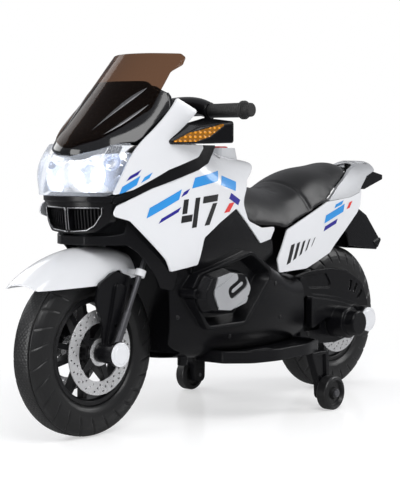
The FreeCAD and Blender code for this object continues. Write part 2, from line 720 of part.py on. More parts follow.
def nose_sheet(rows, thickness, push=0.0):
    wires = [nose_row(*row) for row in rows]
    face = Part.makeLoft(wires, False).Faces[0]
    sheet = face.extrude(Vector(-thickness, 0, 0))
    sheet.translate(Vector(push, 0, 0))
    return sheet


def face_points(points):
    """Front-view corners: y across, h above the axles."""
    return [(y, AXLE_HEIGHT + h, r) for y, h, r in points]


def symmetric(points):
    """Front-view outline from its left half, listed from the bottom middle to the top middle."""
    return face_points(points + [(-y, h, r) for y, h, r in reversed(points)])


LENS_ROWS = [(262, 44, 22, 93, 0.22), (272, 48, 20, 93, 0.22), (300, 62, 9, 96, 0.22),
             (330, 60, -12, 99, 0.22),
             (352, 46, -27, 101, 0.25), (376, 30, -44, 102, 0.3)]
COWL_ROWS = [(330, 37, -9, 96, 0.36), (352, 41, -26, 99, 0.36), (372, 28, -42, 101, 0.36),
             (400, -2, -74, 104, 0.35),
             (442, -44, -126, 106, 0.34), (490, -90, -176, 106, 0.33), (530, -128, -218, 106, 0.32)]
GRILLE_ROWS = [(196, 34, 3, 86, 0.32), (230, 38, 7, 86, 0.32), (276, 41, 10, 86, 0.32)]
SHIELD_PUSH = 4.2


def headlight_lens():
    outline = symmetric([(78, 270.8, 10), (91, 274, 8), (97, 362, 4), (82, 360, 10), (64, 350, 30),
                         (24, 339, 30)])
    return nose_sheet(LENS_ROWS, WALL).common(front_prism(outline, -FAR, 2 * FAR, PANEL_GAP / 2))


def headlight_reflector():
    """Bright bowl pair behind the lens: a sheet set back, with two round dishes pressed in."""
    outline = symmetric([(70, 277, 10), (84, 281, 8), (98, 300, 8), (98, 345, 8), (54, 342, 30),
                         (20, 332, 20)])
    sheet = nose_sheet(LENS_ROWS, 34, -22).common(front_prism(outline, -FAR, 2 * FAR))
    half = Part.makeBox(4 * FAR, FAR, 4 * FAR, Vector(-2 * FAR, 0, -FAR))
    left = sheet.common(half).common(hull(COWLING, WALL + LOOSE))
    sheet = fused([left, mirrored(left)])
    for side in (-1, 1):
        bowl = Part.makeSphere(34, Vector(FRONT_AXLE_X + 36, side * 42, AXLE_HEIGHT + 307))
        pocket = Part.makeSphere(17, Vector(FRONT_AXLE_X + 8, side * 74, AXLE_HEIGHT + 330))
        sheet = sheet.cut(bowl).cut(pocket)
    return sheet


def headlight_lamps():
    """Two round lamps standing in the reflector bowls."""
    lamps = []
    for side in (-1, 1):
        centre = Vector(FRONT_AXLE_X + 2, side * 42, AXLE_HEIGHT + 307)
        lamp = Part.makeCylinder(9, 9, centre + Vector(0.3, 0, 0), Vector(1, 0, 0))
        lamps.append(lamp.fuse(Part.makeSphere(9, centre + Vector(9.3, 0, 0))).removeSplitter())
    bowls = headlight_reflector()
    return Part.makeCompound([lamp.cut(bowls) for lamp in lamps])


def front_cowl():
    """Gloss cowl over the headlight, with the humped instrument shelf and dash behind the windshield."""
    outline = symmetric([(24, 340, 30), (64, 351, 30), (82, 361, 10), (97, 363, 4), (107, 380, 10),
                         (110, 446, 3),
                         (92, 450, 10), (78, 456, 14), (60, 471, 20)])
    edge = front_prism(outline, -FAR, 2 * FAR, PANEL_GAP / 2)
    room = hull(COWLING, WALL + LOOSE)
    left = Part.makeBox(4 * FAR, FAR, 4 * FAR, Vector(-2 * FAR, 0, -FAR))
    shell = nose_sheet(COWL_ROWS, WALL + 1).common(edge).common(room)
    profile = [front(-60, 464, 0), front(-110, 458, 8), front(-146, 358.5, 0), front(-149, 359.5, 0),
               front(-112, 461, 8), front(-60, 467, 0)]
    dash = side_prism(profile, 0, 98).common(nose_sheet(COWL_ROWS, FAR / 2)).common(room)
    shelf_room = Part.makeBox(FAR, FAR, 300, Vector(from_front(-160), 0, AXLE_HEIGHT + 150))
    kept = edge.fuse(side_prism(profile, 0, 98).common(shelf_room))
    half = fused([shell.common(left), dash.common(kept)])
    return fused([half, mirrored(half)])


def windshield():
    """Long shield that follows the cowl from its low front tip to two ears at the top."""
    outline = symmetric([(10, 355, 6), (54, 370, 30), (74, 392, 20), (91, 420, 16), (87, 452, 20),
                         (84, 487, 8),
                         (92, 500, 5), (90, 514, 8), (82, 521, 6), (40, 522, 60)])
    return nose_sheet(COWL_ROWS, WALL, SHIELD_PUSH).common(front_prism(outline, -FAR, 2 * FAR))


def grille_frame():
    """Two-part grille: a deep frame under a shelf, with two slatted openings and a raised rim round each."""
    outline = symmetric([(20, 206, 10), (54, 209, 14), (77, 227, 12), (82, 250, 10), (83, 271, 3)])
    frame = nose_sheet(GRILLE_ROWS, 16).common(front_prism(outline, -FAR, 2 * FAR, PANEL_GAP / 2))
    shelf_edge = symmetric([(84, 261, 2), (85, 271, 2)])
    shelf = nose_sheet(GRILLE_ROWS, 14, 6).common(front_prism(shelf_edge, -FAR, 2 * FAR, PANEL_GAP / 2))
    opening = [(4, 249, 3), (67, 250, 4), (66, 240, 6), (54, 222, 10), (40, 214, 10), (4, 211, 4)]
    rim_edge = nose_sheet(GRILLE_ROWS, 4, 2.5)
    parts = [shelf]
    for side in (-1, 1):
        corners = face_points([(side * y, h, r) for y, h, r in opening])
        hole = front_prism(corners, -FAR, 2 * FAR)
        parts.append(rim_edge.common(front_prism(corners, -FAR, 2 * FAR, -3).cut(hole)))
        slats = []
        for i in range(9):
            y = side * (10 + i * 6.6)
            slats.append(front_prism(face_points([(y - 1.4, 200, 0), (y + 1.4, 200, 0), (y + 1.4, 260, 0),
                                                  (y - 1.4, 260, 0)]), -FAR, 2 * FAR))
        bars = Part.makeCompound(slats).common(front_prism(corners, -FAR, 2 * FAR, -1))
        parts += nose_sheet(GRILLE_ROWS, 7, -7).common(bars).Solids
        frame = frame.cut(hole)
    return fused([frame] + parts).cut(both(side_prism(BAND_OUTLINE, 80, FAR, -LOOSE / 2)))


# Body

def front_chin():
    """Black bow under the grille with cheeks, wheel-well roof and back wall."""
    cheek = [front(29, 186, 2), front(29, 202, 2), front(-20, 203, 4), front(-26, 246, 4),
             front(-70, 246, 10), front(-130, 190, 10), front(-130, 100, 4), front(-104, 106, 14),
             front(-66, 150, 20), front(-42, 174, 10), front(-24, 186, 8)]
    outer = hull(CHIN)
    cheeks = outer.cut(hull(CHIN, WALL)).common(side_prism(cheek, 0, FAR))
    bow = side_prism([front(25, 186), front(25, 202), front(29, 202), front(29, 186)], 0, FAR).common(outer)
    liner = [front(22, 196), front(-20, 204), front(-62, 238), front(-140, 240), front(LINER_BACK, 200),
             front(LINER_BACK, LINER_FOOT), front(LINER_BACK - WALL, LINER_FOOT),
             front(LINER_BACK - WALL, 201), front(-141, 243), front(-63, 241), front(-22, 207),
             front(22, 199)]
    roof = side_prism(liner, 0, FAR).common(outer)
    back = side_prism([front(LINER_BACK, -18), front(LINER_BACK, LINER_FOOT + 2),
                       front(LINER_BACK - WALL, LINER_FOOT + 2), front(LINER_BACK - WALL, -18)], 0, 86)
    half = fused([cheeks, bow, roof, back.common(hull(BELLY, WALL + LOOSE))])
    stem_room = rod(STEM_RADIUS + HEAD_WALL + SEATED, along(CROWN_START), along(HEAD_END))
    return fused([half, mirrored(half)]).cut(stem_room)


def body_shell_left():
    """Left half of the lower body: belly skin, knee panel, engine bay and tail beam."""
    seam = PANEL_GAP / 2
    room = Part.makeBox(4 * FAR, FAR, 4 * FAR, Vector(-2 * FAR, seam, -FAR))
    belly = skin(BELLY).common(room)
    belly = belly.cut(side_prism([front(-100, -60), front(-100, 200), front(-162, 200), front(-162, -60)], 0,
                                 80))
    liner_slot = [front(LINER_BACK + SEATED, LINER_FOOT - SEATED), front(LINER_BACK + SEATED, 210),
                  front(LINER_BACK - WALL - SEATED, 210),
                  front(LINER_BACK - WALL - SEATED, LINER_FOOT - SEATED)]
    belly = belly.cut(side_prism(liner_slot, 0, FAR))
    floor = Part.makeBox(300, 44, 40, Vector(from_front(-470), seam,
                                             AXLE_HEIGHT + FLOOR_HEIGHT - 40)).common(hull(BELLY, 1))
    knee_outline = [front(-281, 252, 8), front(-370, 182, 10), front(-420, 178, 4), front(-428, 150, 4),
                    front(-380, 120, 4), front(-180, 120, 4), front(-169, 130, 4), front(-169, 196, 8),
                    front(-222, 228, 12)]
    knee = skin(FAIRING, WALL + LOOSE).common(side_prism(knee_outline, 40, FAR))
    beam_outline = [front(-380, 174, 10), front(-428, 198, 8), rear(254, 190, 10), rear(207, 205, 30),
                    rear(101, 240, 40), rear(-8, 250, 6), rear(-16, 236, 6), rear(40, 180, 30),
                    rear(180, 112, 40), rear(230, 100, 20), front(-400, 110, 10)]
    beam = side_prism(beam_outline, seam, BEAM_HALF_WIDTH)
    beam = beam.cut(side_prism(beam_outline, seam - 1, BEAM_HALF_WIDTH - WALL, WALL))
    frame = side_prism(BAY_OUTLINE, BAY_FLOOR, BAY_RIM)
    mouth = Part.Face(rounded_wire(BAY_OUTLINE, on_side(BAY_RIM + 1))).makeOffset2D(-6).OuterWire
    base = Part.Face(rounded_wire(BAY_OUTLINE, on_side(BAY_FLOOR + WALL))).makeOffset2D(-19).OuterWire
    frame = frame.cut(Part.makeLoft([mouth, base], True))
    inside = side_prism(BAY_OUTLINE, 40, FAR, 1)
    foot = Part.makeCylinder(9, 20, Vector(from_front(-190), 60, AXLE_HEIGHT - 42), UP).cut(hull(BELLY, 1))
    frame = frame.cut(engine_room())
    return fused([belly.cut(inside), frame, knee.cut(inside), beam, foot, floor])


def engine_room():
    """Space the engine cover takes on the bay floor."""
    low = BAY_FLOOR + WALL + SEATED / 2
    x, z, radius = BREATHER
    return side_prism(ENGINE_OUTLINE, low, FAR, -LOOSE).fuse(cross_rod(radius + LOOSE, x, z, low, FAR))


def engine_cover():
    """Left engine cover: a domed cylinder-head form on the bay floor, with a round breather in front."""
    base = BAY_FLOOR + WALL + SEATED
    shoulder = base + 0.64 * ENGINE_REACH
    low = rounded_wire(ENGINE_OUTLINE, on_side(base))
    middle = rounded_wire(ENGINE_OUTLINE, on_side(shoulder))
    face = Part.Face(rounded_wire(ENGINE_OUTLINE, on_side(base + ENGINE_REACH)))
    top = face.makeOffset2D(-ENGINE_TAPER).OuterWire
    body = Part.makeLoft([low, middle], True, True).fuse(Part.makeLoft([middle, top], True, True))
    x, z, radius = BREATHER
    knob = cross_rod(radius, x, z, base, base + 34).cut(cross_rod(radius - 4, x, z, base + 30, base + 40))
    return fused([body, knob])


def engine_trim():
    """Left silver face plate on the engine cover, with two slanted grooves and a slot that opens upward."""
    low = BAY_FLOOR + WALL + ENGINE_REACH + 2 * SEATED
    high = low + TRIM_THICKNESS
    centre = Vector(from_front(-236), 0, AXLE_HEIGHT + 96)
    limit = [front(-180, 94, 14), front(-196, 132, 20), front(-230, 150), front(-310, 150), front(-310, 40),
             front(-226, 40), front(-196, 62, 20)]
    plate = side_prism(ENGINE_OUTLINE, low, high, ENGINE_TAPER + 1.5).common(side_prism(limit, low, high))
    slot = [(-16, -11, 10), (40, -11, 9), (44, 70), (20, 70), (20, 13, 5), (-16, 13, 10)]
    grooves = [(low - 1, slot)]
    for height in (-30, 27):
        grooves.append((high - TRIM_THICKNESS / 2, [(-90, height), (90, height), (90, height + 3),
                                                    (-90, height + 3)]))
    for depth, outline in grooves:
        corners = [(centre.x - p[0], centre.z + p[1]) + tuple(p[2:]) for p in outline]
        tool = side_prism(corners, depth, high + 1)
        tool.rotate(centre, ACROSS, TRIM_SLANT)
        plate = plate.cut(tool)
    return plate


def seat():
    """Saddle with a dip, a crowned top and a raised rear part."""
    return hull(SADDLE).common(side_prism(SEAT_OUTLINE, -FAR, FAR, SEAT_GAP / 2))


def side_fairing_left():
    """Left white side with the tank form, closed behind by the tank's rear wall."""
    shell = panel(FAIRING, SIDE_OUTLINE)
    trim = PANEL_GAP / 2
    inner = [front(-418, 380), front(-401, 326), front(-331, 296), front(-301, 256), front(-298, 257),
             front(-328, 299), front(-398, 329), front(-415, 380)]
    wall = side_prism(inner, trim, FAR).common(hull(FAIRING, WALL - 0.5))
    limit = side_prism(SIDE_OUTLINE, trim, FAR, trim)
    return fused([shell, wall.common(limit)])


def fairing_band():
    return skin(COWLING, 4).common(side_prism(BAND_OUTLINE, 40, FAR, PANEL_GAP / 2))


def signal_pod():
    """Left wedge pod: flush at its tip, flaring out to a flat rear end like a mirror back."""
    def slice_at(d, inner, outer, low, high, fall):
        points = [(inner, low, 2), (outer, low + 1, 5), (outer, high - fall, 6), (inner, high, 3)]
        return rounded_wire(face_points(points), on_front(from_front(d)))
    body = Part.makeLoft([slice_at(-88, 104, 118, 360.2, 364, 0.5), slice_at(-140, 106, 150, 360.2, 396, 6),
                          slice_at(-193, 108, 178, 361, 408, 8)], True, True)
    gap = side_prism(UPPER_OUTLINE, 0, FAR, -PANEL_GAP / 2)
    body = body.cut(gap).cut(signal_pocket(0.0))
    return body


def signal_pocket(trim):
    """Slanted amber lens zone on the outside of the left pod."""
    outline = [front(-94, 363, 1), front(-120, 379, 3), front(-184, 398, 2), front(-154, 373, 3),
               front(-132, 364, 2)]

    def plane(a, b):
        return Vector(a, 112 + (from_front(-88) - a) * 0.56 + trim, b)
    return prism(outline, plane, Vector(0, FAR, 0), trim)


def signal_lens():
    """Amber lens that fills the pod's pocket."""
    def slice_at(d, outer):
        points = [(60, 350, 0), (outer, 350, 0), (outer, 400, 0), (60, 400, 0)]
        return rounded_wire(face_points(points), on_front(from_front(d)))
    limit = Part.makeLoft([slice_at(-88, 118.6), slice_at(-140, 149.5), slice_at(-193, 177.5)], True, True)
    return signal_pocket(SEATED).common(limit)


def tail_panel_left():
    return panel(TAIL, TAIL_OUTLINE)


def grab_rail():
    """Silver rail up both sides of the tail, joined by a slotted rack plate."""
    shell = skin(TAIL, 0, 6).common(side_prism(RAIL_OUTLINE, -FAR, FAR, PANEL_GAP / 2))
    slots = []
    for i in range(3):
        y = (i - 1) * 22
        slots.append(plan_prism([(from_rear(-84), y - 5, 4), (from_rear(-122), y - 5, 4),
                                 (from_rear(-122), y + 5, 4),
                                 (from_rear(-84), y + 5, 4)], AXLE_HEIGHT + 315, AXLE_HEIGHT + 360))
    return shell.cut(Part.makeCompound(slots))


def tail_light_housing():
    tip = -REAR_OVERHANG
    outline = [rear(-55, 273, 2), rear(-85, 295, 6), rear(-129, 306.6, 4), rear(tip, 298, 3),
               rear(tip, 289, 3), rear(-96, 268, 8)]
    body = side_prism(outline, -38, 38)
    taper = [(from_rear(-40), -40, 0), (from_rear(tip - 5), -30, 8), (from_rear(tip - 5), 30, 8),
             (from_rear(-40), 40, 0)]
    body = body.common(plan_prism(taper, AXLE_HEIGHT + 200, AXLE_HEIGHT + 400))
    for side in (-1, 1):
        post = side_prism([rear(-92, 290, 0), rear(-92, 321.4, 1), rear(-106, 321.4, 1), rear(-106, 290, 0)],
                          side * 11 - 3, side * 11 + 3)
        body = body.fuse(post)
    return body.cut(tail_light_pocket(0.0))


def tail_light_pocket(trim):
    tip = -REAR_OVERHANG
    outline = [rear(tip + 3, 296, 1), rear(tip - 9, 296, 1), rear(tip - 9, 291, 1), rear(tip + 3, 291, 1)]
    return side_prism(outline, -24 + trim, 24 - trim, trim)


def tail_light_lens():
    tip = -REAR_OVERHANG
    limit = Part.makeBox(FAR, FAR, 2 * FAR, Vector(from_rear(tip), -FAR / 2, 0))
    return tail_light_pocket(SEATED).common(limit)


def rear_mudguard():
    """Folded guard that drops behind the wheel from under the tail beam."""
    outline = [rear(-16.6, 236, 3), rear(-60, 230, 8), rear(-96, 212, 10), rear(-146, 160, 6),
               rear(-136, 136, 4), rear(-30, 150, 4), rear(-24, 176, 8), rear(12, 207.4, 2)]
    half = 42.0
    hollow = [rear(60, 130), rear(60, 182), rear(4, 197), rear(-20, 226), rear(-58, 226), rear(-93, 208),
              rear(-141, 160), rear(-128, 120)]
    body = side_prism(outline, -half, half).cut(side_prism(hollow, -half + WALL, half - WALL))
    lip = side_prism([rear(-122, 152, 2), rear(-147, 162, 2), rear(-150, 156, 2), rear(-138, 140, 2)],
                     -half - 2, half + 2)
    lip = lip.cut(side_prism(hollow, -half + WALL, half - WALL))
    return body.fuse(lip).removeSplitter()


def control_console():
    """Console block on the tank with pockets for its switches and button."""
    base = [(from_front(-330), -30, 8), (from_front(-330), 30, 8), (from_front(-398), 26, 8),
            (from_front(-398), -26, 8)]
    top = [(from_front(-338), -25, 8), (from_front(-338), 25, 8), (from_front(-392), 21, 8),
           (from_front(-392), -21, 8)]
    low = AXLE_HEIGHT + CONSOLE_HEIGHT - 40
    high = AXLE_HEIGHT + CONSOLE_HEIGHT
    body = Part.makeLoft([rounded_wire(base, on_plan(low)), rounded_wire(top, on_plan(high))], True, True)
    body = body.cut(hull(FAIRING, -SEATED))
    for y in (-12, 12):
        body = body.cut(switch_pocket(y))
    x = from_front(-380)
    body = body.cut(Part.makeCylinder(BUTTON_RADIUS + LOOSE, 12, Vector(x, 0, high - 9), UP))
    return body


SWITCH_X = FRONT_AXLE_X - 355


def switch_pocket(y):
    high = AXLE_HEIGHT + CONSOLE_HEIGHT
    room = Part.makeBox(SWITCH_LENGTH + 2 * LOOSE, SWITCH_WIDTH + 2 * LOOSE, FAR,
                        Vector(SWITCH_X - SWITCH_LENGTH / 2 - LOOSE, y - SWITCH_WIDTH / 2 - LOOSE,
                               high - SWITCH_HEIGHT))
    pin = cross_rod(SWITCH_PIN_RADIUS + RUNNING, SWITCH_X, high - 1, y - SWITCH_WIDTH / 2 - 2.2,
                    y + SWITCH_WIDTH / 2 + 2.2)
    return room.fuse(pin)


def rocker(y):
    """Rocker switch on a cross pin, its top hollowed between two raised ends."""
    high = AXLE_HEIGHT + CONSOLE_HEIGHT
    half = SWITCH_LENGTH / 2 - 1.2
    outline = [(SWITCH_X - half, high - 2, 1), (SWITCH_X - half, high + 3.4, 1), (SWITCH_X, high + 1.4, 8),
               (SWITCH_X + half, high + 3.4, 1), (SWITCH_X + half, high - 2, 1), (SWITCH_X + 4, high - 6, 3),
               (SWITCH_X - 4, high - 6, 3)]
    body = side_prism(outline, y - SWITCH_WIDTH / 2, y + SWITCH_WIDTH / 2)
    pin = cross_rod(SWITCH_PIN_RADIUS, SWITCH_X, high - 1, y - SWITCH_WIDTH / 2 - 2, y + SWITCH_WIDTH / 2 + 2)
    return body.fuse(pin).removeSplitter()


def sound_button():
    high = AXLE_HEIGHT + CONSOLE_HEIGHT
    x = from_front(-380)
    stem = Part.makeCylinder(BUTTON_RADIUS, 8.6, Vector(x, 0, high - 6), UP)
    return stem.makeFillet(1.2, [stem.Edges[0]])


def battery():
    """Sealed battery with two flat terminals, on the belly floor."""
    low = AXLE_HEIGHT + FLOOR_HEIGHT + SEATED
    x = from_front(-270)
    case = Part.makeBox(BATTERY_LENGTH, BATTERY_WIDTH, BATTERY_HEIGHT,
                        Vector(x - BATTERY_LENGTH / 2, -BATTERY_WIDTH / 2, low))
    case = case.makeFillet(3, case.Edges)
    lugs = []
    for side in (-1, 1):
        lugs.append(Part.makeBox(8, 5, 7, Vector(x + 50, side * 20 - 2.5, low + BATTERY_HEIGHT - 0.5)))
    return fused([case] + lugs)


def control_box():
    low = AXLE_HEIGHT + FLOOR_HEIGHT + SEATED
    x = from_front(-410)
    box = Part.makeBox(70, 60, 34, Vector(x - 35, -30, low))
    return box.makeFillet(3, box.Edges)


# Footboards, pedal and training wheels

def footboard_left():
    """Left footboard: a curved tray with a rim, a tread pad and ribs, seated on the belly side."""
    outline = [(from_front(-222), 60, 4), (from_front(-226), 128, 14), (from_front(-262), 166, 40),
               (from_front(-316), 181, 120), (from_front(-420), 178, 120), (from_rear(232), 156, 20),
               (from_rear(220), 60, 4)]
    low = FOOTBOARD_BOTTOM
    board = plan_prism(outline, low, low + FOOTBOARD_HEIGHT)
    tray = plan_prism(outline, low + FOOTBOARD_FLOOR, low + FOOTBOARD_HEIGHT + 1, 7)
    under = plan_prism(outline, low - 1, low + FOOTBOARD_FLOOR - WALL, 5)
    hollow = [(from_front(-240), 0, 0), (from_front(-240), 400, 0), (from_front(-425), 400, 0),
              (from_front(-425), 0, 0)]
    board = board.cut(tray).cut(under.common(side_prism(hollow, 0, FAR)))
    deck = low + FOOTBOARD_FLOOR - 0.2
    ribs = [Part.makeBox(PAD_LENGTH, PAD_WIDTH, PAD_RISE + 0.2, Vector(from_front(PAD_BACK), PAD_Y, deck))]
    for i in range(TREAD_RIBS):
        y = PAD_Y + i * PAD_WIDTH / TREAD_RIBS
        ribs.append(Part.makeBox(74, 3, PAD_RISE, Vector(from_front(PAD_BACK) + PAD_LENGTH + 8, y, deck)))
    board = fused([board] + ribs)
    return board.cut(hull(BELLY, -SEATED))


PEDAL_Y = -146.0
PEDAL_HINGE_X = FRONT_AXLE_X - 345


def pedal_hinge():
    return Vector(PEDAL_HINGE_X, PEDAL_Y, FOOTBOARD_BOTTOM + FOOTBOARD_FLOOR + 5)


def footboard_right():
    """Right footboard: the left one's mirror with the ribs cleared for the pedal, and lugs for its pin."""
    board = mirrored(footboard_left())
    hinge = pedal_hinge()
    low = FOOTBOARD_BOTTOM + FOOTBOARD_FLOOR
    clear = Part.makeBox(PEDAL_LENGTH + 14, PEDAL_WIDTH + 16, 10,
                         Vector(hinge.x - 10, PEDAL_Y - PEDAL_WIDTH / 2 - 8, low))
    board = board.cut(clear)
    for side in (-1, 1):
        y = PEDAL_Y + side * (PEDAL_WIDTH / 2 + LOOSE + 2)
        lug = side_prism([(hinge.x - 5, low - 0.5, 0), (hinge.x - 5, low + 10, 4), (hinge.x + 5, low + 10, 4),
                          (hinge.x + 5, low - 0.5, 0)], y - 2, y + 2)
        board = board.fuse(lug)
    pin_room = cross_rod(PEDAL_PIN_RADIUS + RUNNING, hinge.x, hinge.z, PEDAL_Y - PEDAL_WIDTH / 2 - 6,
                         PEDAL_Y + PEDAL_WIDTH / 2 + 6)
    return board.cut(pin_room).removeSplitter()


def accelerator_pedal():
    """Ribbed foot pedal on a cross pin, its front end raised at rest."""
    hinge = pedal_hinge()
    outline = [(hinge.x - 4, hinge.z - 4, 3), (hinge.x - 4, hinge.z + 4, 3),
               (hinge.x + PEDAL_LENGTH, hinge.z + 4, 3),
               (hinge.x + PEDAL_LENGTH, hinge.z + 4 - PEDAL_THICKNESS, 2),
               (hinge.x + 12, hinge.z + 4 - PEDAL_THICKNESS, 4),
               (hinge.x + 5, hinge.z - 4, 3)]
    plate = side_prism(outline, PEDAL_Y - PEDAL_WIDTH / 2, PEDAL_Y + PEDAL_WIDTH / 2)
    ribs = []
    for i in range(6):
        ribs.append(Part.makeBox(3, PEDAL_WIDTH - 10, 2,
                                 Vector(hinge.x + 16 + i * 9, PEDAL_Y - PEDAL_WIDTH / 2 + 5, hinge.z + 3.5)))
    pin = cross_rod(PEDAL_PIN_RADIUS, hinge.x, hinge.z, PEDAL_Y - PEDAL_WIDTH / 2 - 4,
                    PEDAL_Y + PEDAL_WIDTH / 2 + 4)
    pedal = fused([plate, pin] + ribs)
    pedal.rotate(hinge, ACROSS, -PEDAL_REST_ANGLE)
    return pedal


def training_axis():
    return Vector(REAR_AXLE_X + TRAIN_BACK, 0, TRAIN_RADIUS)


def training_bracket():
    """Left bracket that drops from the footboard to the inside of the training wheel."""
    axis = training_axis()
    high = FOOTBOARD_BOTTOM - SEATED
    inner = TRAIN_OUTER - TRAIN_WIDTH - 16
    outer = TRAIN_OUTER - TRAIN_WIDTH - LOOSE
    outline = [(axis.x - 12, high, 2), (axis.x - 15, axis.z + 20, 20), (axis.x - 14, axis.z - 14, 12),
               (axis.x + 14, axis.z - 14, 12), (axis.x + 16, axis.z + 16, 14), (axis.x + 44, high, 4)]
    plate = side_prism(outline, inner, outer)
    groove = side_prism([(axis.x - 2, high - 6, 3), (axis.x - 5, axis.z + 24, 4),
                         (axis.x + 8, axis.z + 24, 4),
                         (axis.x + 30, high - 6, 3)], outer - 4, outer + 1)
    return plate.cut(groove).cut(cross_rod(TRAIN_BOLT_RADIUS + RUNNING, axis.x, axis.z, 0, FAR))


def training_bolt():
    axis = training_axis()
    inner = TRAIN_OUTER - TRAIN_WIDTH - 16
    shank = cross_rod(TRAIN_BOLT_RADIUS, axis.x, axis.z, inner, TRAIN_OUTER + SEATED)
    head = turned([(TRAIN_OUTER + SEATED, 0), (TRAIN_OUTER + 4, 0), (TRAIN_OUTER + 4, 7, 1),
                   (TRAIN_OUTER + SEATED, 8, 0)],
                  axis.x, axis.z)
    return shank.fuse(head).removeSplitter()


def training_wheel_left():
    """Small wheel with a dished hub and rounded tread."""
    axis = training_axis()
    low = TRAIN_OUTER - TRAIN_WIDTH
    high = TRAIN_OUTER
    bore = TRAIN_BOLT_RADIUS + RUNNING
    return turned([(low, bore), (high, bore), (high, 11), (high - 6, 13), (high - 6, TRAIN_RADIUS - 11),
                   (high, TRAIN_RADIUS - 8), (high - 2, TRAIN_RADIUS, 6), (low + 2, TRAIN_RADIUS, 6),
                   (low, TRAIN_RADIUS - 8), (low + 6, TRAIN_RADIUS - 11), (low + 6, 13), (low, 11)],
                  axis.x, axis.z)


def write(name, shape):
    shape.exportStep(os.path.join("parts", name + ".step"))


def main():
    os.makedirs("parts", exist_ok=True)
    front_disc = brake_disc(FRONT_AXLE_X, FRONT_AXLE_RADIUS)
    upper = panel(COWLING, UPPER_OUTLINE)
    side = side_fairing_left()
    tail = tail_panel_left()
    shell = body_shell_left()
    arm = rear_arm_left()
    wheel = training_wheel_left()
    write("front_tyre", tyre(FRONT_AXLE_X))
    write("front_rim", rim(FRONT_AXLE_X, FRONT_AXLE_RADIUS))
    write("front_discs", both(front_disc))
    write("rear_tyre", tyre(REAR_AXLE_X))
    write("rear_rim", rim(REAR_AXLE_X, REAR_AXLE_RADIUS))
    write("rear_disc", brake_disc(REAR_AXLE_X, REAR_AXLE_RADIUS))
    write("drive_gear", drive_gear())
    write("motor_pinion", motor_pinion())
    write("drive_motor", drive_motor())
    write("rear_arm_left", arm)
    write("rear_arm_right", mirrored(arm))
    write("rear_axle", cross_rod(REAR_AXLE_RADIUS, REAR_AXLE_X, AXLE_HEIGHT, -ARM_HUB_REACH, ARM_HUB_REACH))
    write("rear_axle_caps", both(axle_cap(REAR_AXLE_X, REAR_CAP_RADIUS, ARM_HUB_REACH)))
    write("front_axle", cross_rod(FRONT_AXLE_RADIUS, FRONT_AXLE_X, AXLE_HEIGHT, -FORK_HUB_REACH,
                                  FORK_HUB_REACH))
    write("front_axle_caps", both(axle_cap(FRONT_AXLE_X, FRONT_CAP_RADIUS, FORK_HUB_REACH)))
    write("steering_stem", steering_stem())
    write("fork_tubes", both(fork_tube()))
    write("fork_legs", both(fork_leg()))
    write("front_fender", front_fender())
    write("handlebar", handlebar())
    write("grips", both(grip()))
    write("steering_head", steering_head())
    write("headlight_lens", headlight_lens())
    write("headlight_reflector", headlight_reflector())
    write("headlight_lamps", headlight_lamps())
    write("front_cowl", front_cowl())
    write("windshield", windshield())
    write("grille_frame", grille_frame())
    write("front_chin", front_chin())
    write("body_shell_left", shell)
    write("body_shell_right", mirrored(shell))
    write("engine_covers", both(engine_cover()))
    write("engine_trims", both(engine_trim()))
    write("side_fairing_left", side)
    write("side_fairing_right", mirrored(side))
    write("upper_fairing_left", upper)
    write("upper_fairing_right", mirrored(upper))
    write("fairing_bands", both(fairing_band()))
    write("signal_pods", both(signal_pod()))
    write("signal_lenses", both(signal_lens()))
    write("control_console", control_console())
    write("power_switch", rocker(12))
    write("direction_switch", rocker(-12))
    write("sound_button", sound_button())
    write("seat", seat())
    write("tail_panel_left", tail)
    write("tail_panel_right", mirrored(tail))
    write("grab_rail", grab_rail())
    write("tail_light_housing", tail_light_housing())
    write("tail_light_lens", tail_light_lens())
    write("rear_mudguard", rear_mudguard())
    write("battery", battery())
    write("control_box", control_box())
    write("footboard_left", footboard_left())
    write("footboard_right", footboard_right())
    write("accelerator_pedal", accelerator_pedal())
    write("training_brackets", both(training_bracket()))
    write("training_bolts", both(training_bolt()))
    write("training_wheel_left", wheel)
    write("training_wheel_right", mirrored(wheel))


main()
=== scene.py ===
import json
import math

import bpy
import numpy as np
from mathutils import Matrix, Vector
from mathutils.bvhtree import BVHTree
from mathutils.geometry import delaunay_2d_cdt


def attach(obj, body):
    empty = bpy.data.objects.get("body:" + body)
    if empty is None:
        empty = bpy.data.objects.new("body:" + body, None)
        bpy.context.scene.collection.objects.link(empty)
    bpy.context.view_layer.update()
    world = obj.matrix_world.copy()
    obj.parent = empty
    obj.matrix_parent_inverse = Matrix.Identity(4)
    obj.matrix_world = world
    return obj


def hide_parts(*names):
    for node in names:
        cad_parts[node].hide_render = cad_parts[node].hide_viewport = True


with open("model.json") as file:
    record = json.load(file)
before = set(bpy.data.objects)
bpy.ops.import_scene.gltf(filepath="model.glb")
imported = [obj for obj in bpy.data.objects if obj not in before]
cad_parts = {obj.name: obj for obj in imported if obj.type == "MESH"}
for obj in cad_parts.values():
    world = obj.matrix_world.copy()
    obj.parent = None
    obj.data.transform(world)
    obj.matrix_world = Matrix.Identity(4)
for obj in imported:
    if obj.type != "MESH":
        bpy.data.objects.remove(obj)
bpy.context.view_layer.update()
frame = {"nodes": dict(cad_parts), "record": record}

nodes = frame["nodes"]
scene = bpy.context.scene


def points_of(mesh):
    """Vertex places of a mesh as rows of x, y, z."""
    co = np.empty(len(mesh.vertices) * 3)
    mesh.vertices.foreach_get("co", co)
    return co.reshape(-1, 3)


def centre_of(name):
    """Middle of a node's box, to a tenth of a millimetre."""
    co = points_of(nodes[name].data)
    return [float(v) for v in np.round((co.min(axis=0) + co.max(axis=0)) / 2, 4)]


